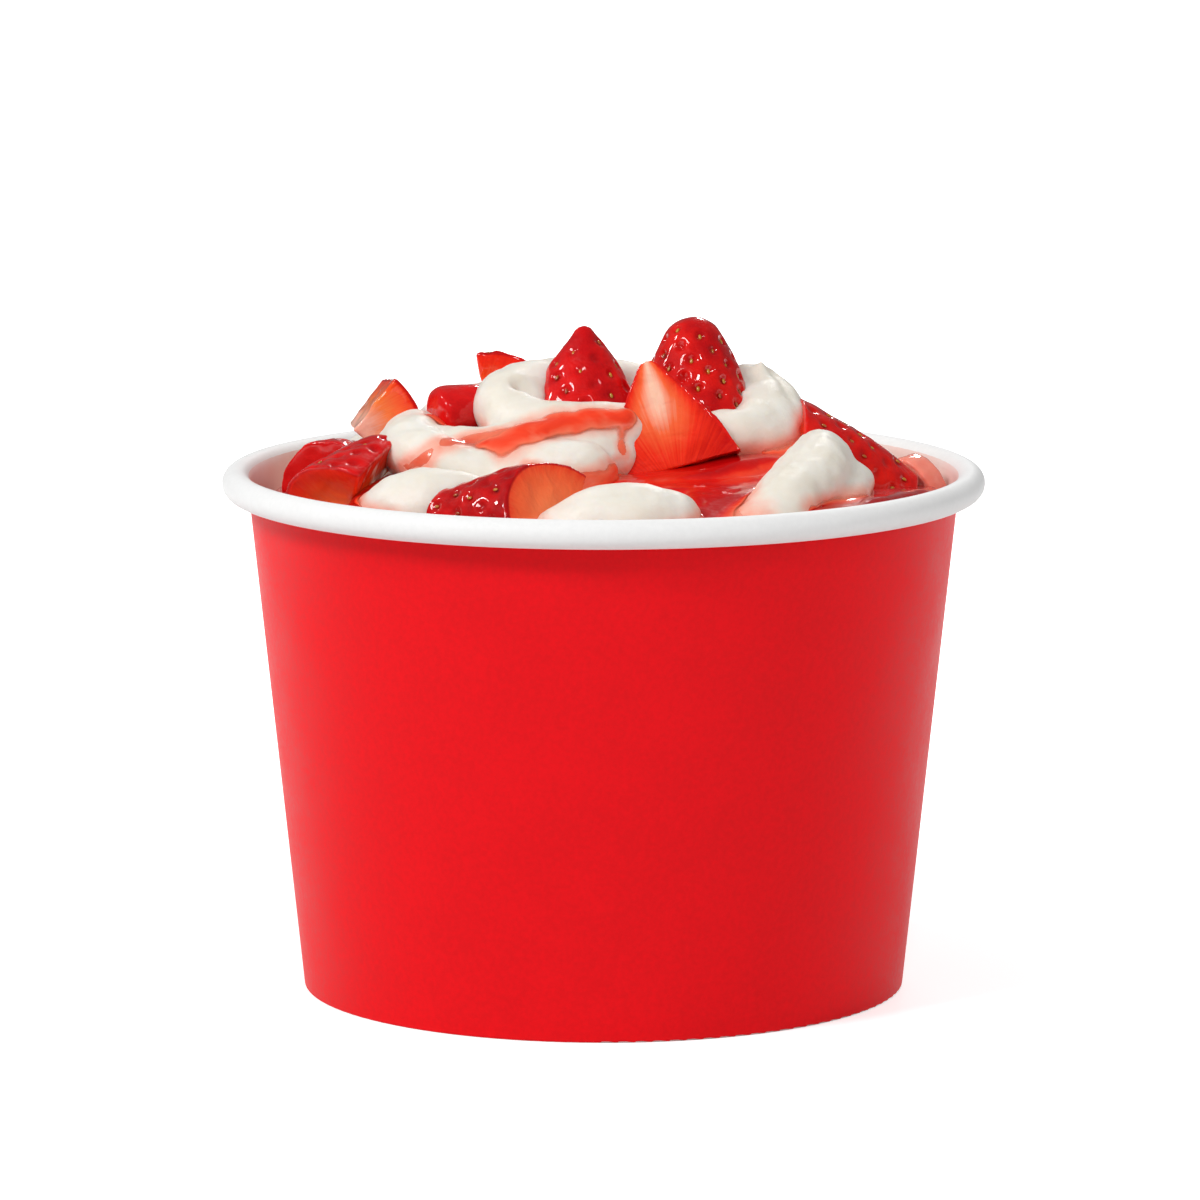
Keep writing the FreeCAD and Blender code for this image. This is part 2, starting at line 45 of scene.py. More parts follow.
# the paper cup, in mm, as the frame has it
cup = {
    "height": 77.0,
    "mouthRadius": 51.8,
    "wallInsideAtRim": 52.0,
    "taper": 6.1,  # degrees off the vertical
    "curlBottom": 72.8,
    "seamHalfWidth": 3.5,
}


# small helpers

def smoothStep(low, high, value):
    t = min(max((value - low) / (high - low), 0.0), 1.0)
    return t * t * (3 - 2 * t)


# radius of the cup's inner face at a height
def wallInside(z):
    return cup["wallInsideAtRim"] - (cup["height"] - z) * math.tan(math.radians(cup["taper"]))


# soft noise, -1 to 1, with bumps of about that size in mm
def lumps(point, size, seed=0.0):
    return noise.noise(Vector(point) / size + Vector((seed, seed * 0.7, -seed)))


def addNode(tree, kind, inputs=None, **settings):
    node = tree.nodes.new("ShaderNode" + kind)
    for name, value in settings.items():
        setattr(node, name, value)
    for name, value in (inputs or {}).items():
        if isinstance(value, bpy.types.NodeSocket):
            tree.links.new(value, node.inputs[name])
        else:
            node.inputs[name].default_value = value
    return node


# a grey colour from one value
def grey(tree, value):
    return addNode(tree, "CombineColor", {0: value, 1: value, 2: value}).outputs[0]


def calc(tree, operation, *values):
    node = addNode(tree, "Math", dict(enumerate(values)), operation=operation)
    return node.outputs[0]


def blend(tree, factor, first, second, blendType="MIX"):
    node = addNode(tree, "Mix", {0: factor, 6: first, 7: second}, data_type="RGBA", blend_type=blendType)
    return node.outputs[2]


# colour ramp; stops are (position, colour)
def ramp(tree, factor, stops):
    node = addNode(tree, "ValToRGB", {0: factor})
    elements = node.color_ramp.elements
    while len(elements) < len(stops):
        elements.new(0.5)
    for element, (position, colour) in zip(elements, stops):
        element.position = position
        element.color = (*colour, 1.0) if len(colour) == 3 else colour
    return node.outputs[0]


def mapRange(tree, value, fromLow, fromHigh, toLow=0.0, toHigh=1.0):
    node = addNode(
        tree, "MapRange", {0: value, 1: fromLow, 2: fromHigh, 3: toLow, 4: toHigh},
        interpolation_type="SMOOTHSTEP",
    )
    return node.outputs[0]


def noiseNode(tree, vector, scale, detail, roughness=0.5, distortion=0.0):
    return addNode(tree, "TexNoise", {
        "Vector": vector, "Scale": scale, "Detail": detail, "Roughness": roughness,
        "Distortion": distortion,
    })


def newGroup(name, inputs, outputs):
    tree = bpy.data.node_groups.new(name, "ShaderNodeTree")
    for label, kind, value in inputs:
        socket = tree.interface.new_socket(label, in_out="INPUT", socket_type="NodeSocket" + kind)
        if value is not None:
            socket.default_value = value
    for label, kind in outputs:
        tree.interface.new_socket(label, in_out="OUTPUT", socket_type="NodeSocket" + kind)
    return tree, tree.nodes.new("NodeGroupInput").outputs, tree.nodes.new("NodeGroupOutput").inputs


def useGroup(tree, group, inputs):
    node = tree.nodes.new("ShaderNodeGroup")
    node.node_tree = group
    for name, value in inputs.items():
        if isinstance(value, bpy.types.NodeSocket):
            tree.links.new(value, node.inputs[name])
        else:
            node.inputs[name].default_value = value
    return node.outputs


# material with its Principled shader; constants are set on the shader's own sockets
def newMaterial(name, **constants):
    material = bpy.data.materials.new(name)
    material.use_nodes = True
    shader = material.node_tree.nodes["Principled BSDF"]
    for label, value in constants.items():
        shader.inputs[label.replace("_", " ")].default_value = value
    return material, material.node_tree, shader


def giveBump(tree, shader, height, distance, strength):
    bump = addNode(tree, "Bump", {"Height": height, "Distance": distance, "Strength": strength})
    tree.links.new(bump.outputs[0], shader.inputs["Normal"])


def objectPoint(tree):
    return addNode(tree, "TexCoord").outputs["Object"]


def attribute(tree, name):
    return addNode(tree, "Attribute", attribute_name=name).outputs


def meshObject(name, bm, scale=1.0):
    bmesh.ops.scale(bm, vec=(scale, scale, scale), verts=bm.verts)
    mesh = bpy.data.meshes.new(name)
    bm.to_mesh(mesh)
    bm.free()
    mesh.polygons.foreach_set("use_smooth", [True] * len(mesh.polygons))
    thing = bpy.data.objects.new(name, mesh)
    bpy.context.scene.collection.objects.link(thing)
    return thing


# the same form as one closed skin of even faces, as a new bmesh
def remeshed(bm, voxel):
    rough = meshObject("rough", bm)
    modifier = rough.modifiers.new("skin", "REMESH")
    modifier.mode = "VOXEL"
    modifier.voxel_size = voxel
    done = rough.evaluated_get(bpy.context.evaluated_depsgraph_get())
    result = bmesh.new()
    result.from_mesh(done.to_mesh())
    done.to_mesh_clear()
    mesh = rough.data
    bpy.data.objects.remove(rough)
    bpy.data.meshes.remove(mesh)
    return result


def relax(bm, times, verts=None, factor=0.5):
    for _ in range(times):
        bmesh.ops.smooth_vert(
            bm, verts=verts or bm.verts, factor=factor, use_axis_x=True, use_axis_y=True, use_axis_z=True
        )


def finishPiece(name, bm, material, nodes=()):
    piece = meshObject(name, bm, mm)
    piece.data.materials.append(material)
    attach(piece, "root")
    if nodes:
        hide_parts(*nodes)
    return piece


# shared shader groups

# paperboard: fine fibres and a faint cloudy tone
def makePaperFibre():
    tree, given, out = newGroup(
        "paperFibre",
        [("Vector", "Vector", None), ("Fibre", "Float", 1200.0), ("Cloud", "Float", 90.0)],
        [("Tone", "Float"), ("Height", "Float")],
    )
    fibre = noiseNode(tree, given["Vector"], given["Fibre"], 4.0, 0.65)
    cloud = noiseNode(tree, given["Vector"], given["Cloud"], 5.0, 0.6)
    tone = calc(tree, "MULTIPLY_ADD", fibre.outputs[0], 0.6, calc(tree, "MULTIPLY", cloud.outputs[0], 0.4))
    tree.links.new(tone, out["Tone"])
    tree.links.new(fibre.outputs[0], out["Height"])
    return tree


# juice lying on a surface: slow swells that bend reflections, and small beads
def makeWetFilm():
    tree, given, out = newGroup(
        "wetFilm",
        [("Vector", "Vector", None), ("Swell", "Float", 350.0), ("Bead", "Float", 1500.0)],
        [("Height", "Float"), ("Tone", "Float")],
    )
    swell = noiseNode(tree, given["Vector"], given["Swell"], 2.0, 0.5, 0.6)
    bead = noiseNode(tree, given["Vector"], given["Bead"], 1.0)
    height = calc(tree, "ADD", swell.outputs[0], calc(tree, "MULTIPLY", bead.outputs[0], 0.18))
    tree.links.new(height, out["Height"])
    tree.links.new(swell.outputs[0], out["Tone"])
    return tree


paperFibre = makePaperFibre()
wetFilm = makeWetFilm()


# paper cup

paper = {
    "red": (0.82, 0.005, 0.010),
    "white": (0.86, 0.86, 0.855),
    "cutEdge": (0.80, 0.76, 0.70),
    "stain": (0.80, 0.26, 0.16),  # where berry juice has soaked the inside
    "stainTop": 0.080,  # m, height at which the juice fades out
    "stainFoot": 0.073,
    "stainLeft": 0.55,  # how much juice the left and the right side have taken
    "stainRight": 0.45,
    "stainWander": 0.008,  # m, how unevenly it has run
    # mm outside the wall's inner face: where the print lies, where the hem ends, what counts as inside
    "printFrom": 0.3,
    "printTo": 0.85,
    "hemFrom": -0.7,
    "insideWithin": 0.2,
    "printMargin": 0.5,  # the print runs on under the curl
    "edgeHalfWidth": 0.25,  # of the pale raw edge at the seam
}


# red print outside, bare white board inside and over the curl, juice stain under the rim
def sleevePaper():
    material, tree, shader = newMaterial("sleevePaper", Roughness=0.55, Specular_IOR_Level=0.10)
    point = objectPoint(tree)
    split = addNode(tree, "SeparateXYZ", {0: point})
    x, y, z = split.outputs
    radius = calc(tree, "SQRT", calc(tree, "MULTIPLY_ADD", x, x, calc(tree, "MULTIPLY", y, y)))
    lean = math.tan(math.radians(cup["taper"]))
    insideHere = calc(
        tree, "MULTIPLY_ADD", z, lean, (cup["wallInsideAtRim"] - cup["height"] * lean) * mm
    )
    offset = calc(tree, "SUBTRACT", radius, insideHere)
    beyond = calc(tree, "GREATER_THAN", offset, paper["printFrom"] * mm)
    outer = calc(tree, "MULTIPLY", beyond, calc(tree, "LESS_THAN", offset, paper["printTo"] * mm))
    hem = calc(tree, "LESS_THAN", offset, paper["hemFrom"] * mm)
    belowCurl = calc(tree, "LESS_THAN", z, (cup["curlBottom"] + paper["printMargin"]) * mm)
    printed = calc(tree, "MULTIPLY", calc(tree, "MAXIMUM", outer, hem), belowCurl)

    fibre = useGroup(tree, paperFibre, {"Vector": point})
    redTone = mapRange(tree, fibre["Tone"], 0.3, 0.7, 0.93, 1.06)
    red = blend(tree, 1.0, (*paper["red"], 1), grey(tree, redTone), "MULTIPLY")
    whiteTone = mapRange(tree, fibre["Tone"], 0.3, 0.7, 0.97, 1.02)
    white = blend(tree, 1.0, (*paper["white"], 1), grey(tree, whiteTone), "MULTIPLY")

    # juice has run along the inside of the wall, deeper near the cream
    run = noiseNode(tree, point, 60.0, 3.0)
    wander = calc(tree, "MULTIPLY_ADD", run.outputs[0], paper["stainWander"], -paper["stainWander"] / 2)
    soak = mapRange(tree, calc(tree, "ADD", z, wander), paper["stainTop"], paper["stainFoot"])
    inside = calc(tree, "LESS_THAN", calc(tree, "ABSOLUTE", offset), paper["insideWithin"] * mm)
    share = mapRange(tree, x, -0.03, 0.035, paper["stainLeft"], paper["stainRight"])
    soak = calc(tree, "MULTIPLY", calc(tree, "MULTIPLY", soak, inside), share)
    white = blend(tree, soak, white, (*paper["stain"], 1))

    # the overlap's raw edge shows as a pale line down one side of the seam
    behind = calc(tree, "GREATER_THAN", y, 0.0)
    edge = calc(tree, "COMPARE", x, cup["seamHalfWidth"] * mm, paper["edgeHalfWidth"] * mm)
    edge = calc(tree, "MULTIPLY", calc(tree, "MULTIPLY", edge, behind), outer)
    red = blend(tree, calc(tree, "MULTIPLY", edge, 0.75), red, (*paper["cutEdge"], 1))

    tree.links.new(blend(tree, printed, white, red), shader.inputs["Base Color"])
    tree.links.new(mapRange(tree, fibre["Tone"], 0.3, 0.7, 0.42, 0.56), shader.inputs["Roughness"])
    giveBump(tree, shader, fibre["Height"], 0.00003, 0.5)
    return material


def basePaper():
    material, tree, shader = newMaterial("basePaper", Roughness=0.6, Specular_IOR_Level=0.3)
    point = objectPoint(tree)
    fibre = useGroup(tree, paperFibre, {"Vector": point})
    tone = ramp(tree, fibre["Tone"], [(0.3, (0.80, 0.80, 0.79)), (0.7, (0.90, 0.90, 0.89))])
    tree.links.new(tone, shader.inputs["Base Color"])
    giveBump(tree, shader, fibre["Height"], 0.00004, 0.6)
    return material


for node, material in (("cupSideWall", sleevePaper()), ("cupBase", basePaper())):
    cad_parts[node].data.materials.clear()
    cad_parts[node].data.materials.append(material)
print("paper cup done")


# ice cream: ribbons laid in a coil over the fill

# each ribbon's points are x, y, height above the rim and thickness (radius), in mm
cream = {
    "voxel": 0.62,
    "fillDrop": 9.5,  # level at the wall, below the rim
    "crest": 0.5,  # top of the fill under the ribbons, above the rim
    "bottom": 9.2,
    "flatness": 0.94,  # the ribbons sag a little
    "bite": 0.2,  # how far the fill reaches into the wall
    "cutLevel": 58.0,  # below this the fill is a plain cone
    "domeSteps": 8,
    "coneSteps": 4,
    "reliefFrom": 3.0,  # above the cut level
    # height, size and seed of the lumps on its surface
    "relief": [(0.45, 7.0, 3.1), (0.2, 2.6, 8.4), (0.07, 1.1, 1.7)],
    "underside": -0.2,  # furrows stay off faces that look further down than this
    "ribbons": {
        "frontLeft": [
            (-31.5, -24.5, -3.6, 4.2), (-29.0, -27.5, -2.4, 5.4), (-25.5, -28.5, -2.0, 5.9),
            (-20.5, -28.0, -2.2, 5.7), (-15.0, -27.0, -3.6, 5.0), (-9.5, -26.5, -5.0, 4.4),
        ],
        "front": [
            (-8.5, -39.5, -6.4, 4.2), (-4.5, -40.0, -4.4, 5.4), (0, -40.2, -2.6, 6.0),
            (5.0, -40.0, -2.4, 6.0), (9.2, -39.2, -2.6, 5.0),
        ],
        "frontRight": [
            (31.8, -8, 3.2, 3.6), (31.6, -14, 3.0, 4.4), (30.4, -20, 1.9, 4.9), (28.2, -26, 0.0, 5.2),
            (25.2, -32, -2.2, 5.0), (22.0, -37, -4.6, 4.6), (19.0, -41, -7.0, 4.2),
        ],
        "lowRight": [
            (33.0, -29, -6.0, 3.2), (34.0, -23, -3.0, 3.6), (35.4, -16, -0.6, 3.7),
            (36.0, -10, -1.4, 3.4),
        ],
        "middle": [
            (-22, 12, 2.4, 4.6), (-26.0, 5, 3.2, 4.9), (-27.8, -3, 3.6, 4.9), (-27.8, -10.5, 3.8, 4.7),
            (-24.2, -15.6, 2.8, 4.4), (-18.0, -17.8, 1.4, 4.0), (-11.5, -18.8, 0.6, 4.0),
        ],
        "lobe": [
            (-17.0, -16.5, 1.6, 3.6), (-12.0, -17.6, 1.8, 4.2), (-7.0, -18.4, 2.4, 4.5),
            (-3.0, -18.6, 2.4, 4.1), (-1.0, -17.6, 1.6, 3.2),
        ],
        "underBand": [
            (-24, -8, 2.6, 4.4), (-18, -11.5, 3.6, 4.5), (-11, -12.6, 3.8, 4.6), (-4, -12.4, 3.4, 4.6),
            (1, -10.6, 2.6, 4.2),
        ],
        "topLoop": [
            (9, -5, 4.6, 3.8), (4.5, -7.6, 6.4, 4.0), (-1.0, -9.0, 7.0, 4.1), (-6.5, -8.8, 7.0, 4.2),
            (-11.2, -6.6, 7.0, 4.6), (-13.6, -2.0, 8.4, 5.2), (-12.4, 3.6, 9.8, 5.4),
            (-8.0, 7.6, 10.2, 5.2), (-2, 10.6, 9.8, 5.2), (4.5, 11.4, 9.0, 5.0), (10, 8, 5.6, 4.4),
        ],
        "rightMound": [
            (11, 14, 2.6, 5.6), (16, 11.5, 5.2, 6.2), (21.0, 7.5, 6.2, 6.6), (23.2, 1.5, 5.4, 6.6),
            (21.0, -4, 5.0, 5.0), (16.5, -5.5, 4.6, 4.4), (12.5, -4.5, 3.6, 4.0),
        ],
        "peak": [
            (16.5, 10.0, 9.2, 4.0), (20.2, 8.8, 11.0, 3.3), (22.4, 8.0, 12.8, 2.2),
            (23.1, 7.6, 14.0, 1.1),
        ],
        "peakSide": [(23.4, 8.0, 11.0, 2.8), (25.2, 5.4, 8.6, 3.6), (26.2, 1.5, 6.4, 3.8)],
        "riverBed": [
            (30, 3, 1.2, 4.0), (28.5, -3, -0.2, 4.2), (26, -9, -2.2, 4.5), (22.5, -15, -4.0, 4.8),
            (18, -22, -5.2, 5.0),
        ],
        "underTip": [(16, -4, 2.0, 5.0), (14, 2, 3.6, 6.2), (10, 7, 4.4, 6.4)],
        "plug": [(-6, -2, 1.5, 6.5), (-1, 3, 2.6, 7.5), (6, 4, 1.5, 7.0)],
        "backRight": [
            (40, 8, -6.0, 5.0), (37, 17, -4.2, 6.4), (31, 26, -3.2, 7.0), (22, 33.5, -3.0, 7.2),
            (11, 38, -3.8, 7.0), (2, 40, -5.6, 6.0),
        ],
        "backLeft": [
            (1, 39, -7.0, 5.6), (-7, 39.5, -4.6, 6.8), (-17, 36.5, -3.2, 7.2), (-26, 30.5, -3.0, 7.2),
            (-33.5, 21, -3.8, 6.8), (-37, 11, -6.0, 5.6),
        ],
        "middleBack": [
            (28, 9, 1.6, 5.6), (24.5, 15.5, 3.2, 6.6), (17, 22, 4.0, 7.0), (7, 26, 4.4, 7.0),
            (-4, 26.5, 4.2, 7.0), (-15, 22.5, 3.8, 6.8), (-22, 15, 3.0, 6.2),
        ],
        "innerBack": [(18, 16, 4.2, 5.6), (9, 18, 6.0, 6.2), (-2, 18.6, 6.4, 6.2), (-11, 15, 5.6, 5.8)],
    },
    # furrows: x, y of a line on the heap, its half width and its depth
    "furrows": [
        ([(-12.0, -3.6), (-9.0, -4.0), (-5.5, -5.0), (-2.0, -6.0)], 1.3, 1.7),
        ([(-16.0, 1.0), (-14.0, 5.0), (-10.0, 8.0)], 0.8, 0.35),
        ([(21.0, 2.0), (22.4, 5.0), (22.0, 8.0)], 1.0, 0.5),
        ([(24.8, 7.6), (26.4, 4.4), (27.2, 0.5)], 0.8, 0.45),
        ([(18.4, 3.0), (19.6, -1.0), (19.6, -5.0)], 1.2, 0.5),
        ([(-29.6, -12.2), (-26.6, -13.6), (-23.4, -13.4)], 1.1, 0.5),
        ([(-31.8, -4.0), (-31.0, -9.0)], 1.0, 0.4),
        ([(28.4, -12.0), (27.0, -19.0), (24.6, -26.0), (21.4, -33.0)], 0.5, 0.22),
        ([(29.8, -12.0), (28.6, -19.0), (26.4, -26.0), (23.2, -33.0)], 0.45, 0.2),
        ([(31.4, -12.0), (30.4, -19.0), (28.4, -26.0), (25.2, -33.0)], 0.45, 0.18),
        ([(-6.0, -42.5), (0.0, -43.6), (6.0, -43.0)], 0.8, 0.2),
        ([(-6.0, -38.0), (0.0, -38.8), (8.0, -37.8)], 0.6, 0.18),
        ([(30.0, 20.0), (22.0, 28.0), (12.0, 33.0)], 0.9, 0.3),
        ([(-10.0, 33.0), (-20.0, 30.0), (-29.0, 22.0)], 0.9, 0.3),
        ([(12.0, 22.0), (2.0, 24.0), (-10.0, 22.0)], 0.7, 0.25),
    ],
}


# smooth run through a ribbon's points
def ribbonPath(points, steps=5):
    spots = [Vector(p) for p in points]
    spots = [spots[0] * 2 - spots[1], *spots, spots[-1] * 2 - spots[-2]]
    path = []
    for before, start, end, after in zip(spots, spots[1:], spots[2:], spots[3:]):
        for k in range(steps):
            t = k / steps
            path.append(
                (start * 2 + (end - before) * t + (before * 2 - start * 5 + end * 4 - after) * t * t
                 + (start * 3 - before - end * 3 + after) * t * t * t) * 0.5
            )
    return path + [spots[-2]]


# tube swept along a path by extruding its ring, with rounded ends
def sweepRibbon(bm, points, sides=20, capSteps=4):
    path = ribbonPath(points)
    places = [(Vector((p.x, p.y, cup["height"] + p.z)), p.w) for p in path]
    startWay = (places[0][0] - places[1][0]).normalized()
    endWay = (places[-1][0] - places[-2][0]).normalized()
    caps = [math.radians(84) * (k + 1) / capSteps for k in range(capSteps)]
    first, last = places[0], places[-1]
    for angle in caps:
        places.insert(0, (first[0] + startWay * first[1] * math.sin(angle), first[1] * math.cos(angle)))
        places.append((last[0] + endWay * last[1] * math.sin(angle), last[1] * math.cos(angle)))

    flat = Matrix.Diagonal((1.06, 1.06, cream["flatness"], 1))

    def placing(k):
        way = places[min(k + 1, len(places) - 1)][0] - places[max(k - 1, 0)][0]
        turn = way.to_track_quat("Z", "Y").to_matrix().to_4x4()
        return Matrix.Translation(places[k][0]) @ flat @ turn @ Matrix.Scale(places[k][1], 4)

    ring = bmesh.ops.create_circle(bm, segments=sides, radius=1.0)["verts"]
    edges = list({e for v in ring for e in v.link_edges})
    bmesh.ops.transform(bm, matrix=placing(0), verts=ring)
    bmesh.ops.holes_fill(bm, edges=edges)
    for k in range(1, len(places)):
        grown = bmesh.ops.extrude_edge_only(bm, edges=edges)["geom"]
        ring = [g for g in grown if isinstance(g, bmesh.types.BMVert)]
        edges = [g for g in grown if isinstance(g, bmesh.types.BMEdge)]
        bmesh.ops.transform(bm, matrix=placing(k) @ placing(k - 1).inverted(), verts=ring)
    bmesh.ops.holes_fill(bm, edges=edges)


# what fills the cup: a cone with a low domed top, turned from its section
def addFill(bm):
    level = cup["height"] - cream["fillDrop"]
    section = [(0, cream["bottom"]), (wallInside(cream["bottom"]) + cream["bite"], cream["bottom"]),
               (wallInside(level) + cream["bite"], level)]
    for k in range(1, cream["domeSteps"] + 1):
        angle = k / cream["domeSteps"] * math.pi / 2
        section.append((
            (wallInside(level) + cream["bite"]) * math.cos(angle),
            level + (cream["crest"] + cream["fillDrop"]) * math.sin(angle) ** 1.6,
        ))
    verts = [bm.verts.new((r, 0, z)) for r, z in section]
    edges = [bm.edges.new(pair) for pair in zip(verts, verts[1:])]
    bmesh.ops.spin(
        bm, geom=verts + edges, cent=(0, 0, 0), axis=(0, 0, 1), angle=math.tau, steps=72, use_merge=True
    )
    bmesh.ops.remove_doubles(bm, verts=bm.verts, dist=0.01)


# no food reaches further than just into the wall, or over the curl's inner edge
def keepInside(v):
    limit = min(wallInside(v.co.z), cup["mouthRadius"] - 0.1) + cream["bite"]
    reach = math.hypot(v.co.x, v.co.y)
    if reach > limit:
        v.co.x *= limit / reach
        v.co.y *= limit / reach


# how far a point lies from a line of points, and the line's other values there
def nearest(point, run):
    best, found = 1e9, None
    size = len(point)
    for start, end in zip(run, run[1:]):
        a, b = Vector(start[:size]), Vector(end[:size])
        along = max(0.0, min(1.0, (point - a).dot(b - a) / (b - a).length_squared))
        gap = (point - a - (b - a) * along).length
        if gap < best:
            best = gap
            found = [p + (q - p) * along for p, q in zip(start[size:], end[size:])]
    return best, found


def makeCream():
    bm = bmesh.new()
    addFill(bm)
    for points in cream["ribbons"].values():
        sweepRibbon(bm, points)
    bmesh.ops.recalc_face_normals(bm, faces=bm.faces)
    bm = remeshed(bm, cream["voxel"])
    relax(bm, 5)
    # below the rim the fill runs down to the base as one plain cone
    cutLevel = cream["cutLevel"]
    bmesh.ops.bisect_plane(
        bm, geom=bm.verts[:] + bm.edges[:] + bm.faces[:], plane_co=(0, 0, cutLevel), plane_no=(0, 0, -1),
        clear_outer=True,
    )
    edges = [e for e in bm.edges if e.is_boundary]
    rim = wallInside(cutLevel) + cream["bite"]
    foot = wallInside(cream["bottom"]) + cream["bite"]
    steps = cream["coneSteps"]
    for k in range(1, steps + 1):
        before = rim + (foot - rim) * (k - 1) / steps
        after = rim + (foot - rim) * k / steps
        grown = bmesh.ops.extrude_edge_only(bm, edges=edges)["geom"]
        ring = [g for g in grown if isinstance(g, bmesh.types.BMVert)]
        edges = [g for g in grown if isinstance(g, bmesh.types.BMEdge)]
        bmesh.ops.scale(bm, vec=(after / before, after / before, 1), verts=ring)
        bmesh.ops.translate(bm, vec=(0, 0, (cream["bottom"] - cutLevel) / steps), verts=ring)
    bmesh.ops.holes_fill(bm, edges=edges)
    bmesh.ops.recalc_face_normals(bm, faces=bm.faces)
    bm.normal_update()
    # lumps and furrows go on last, along the surface's own directions
    for v in bm.verts:
        if v.co.z > cutLevel + cream["reliefFrom"]:
            swell = sum(height * lumps(v.co, size, seed) for height, size, seed in cream["relief"])
            if v.normal.z > cream["underside"]:
                flat = Vector((v.co.x, v.co.y))
                for run, reach, depth in cream["furrows"]:
                    gap = nearest(flat, run)[0] / reach
                    if gap < 2.5:
                        swell -= depth * math.exp(-gap * gap)
            v.co += v.normal * swell
            keepInside(v)
    return bm


creamShape = makeCream()
creamShape.normal_update()
print("ice cream shaped:", len(creamShape.verts), "points")


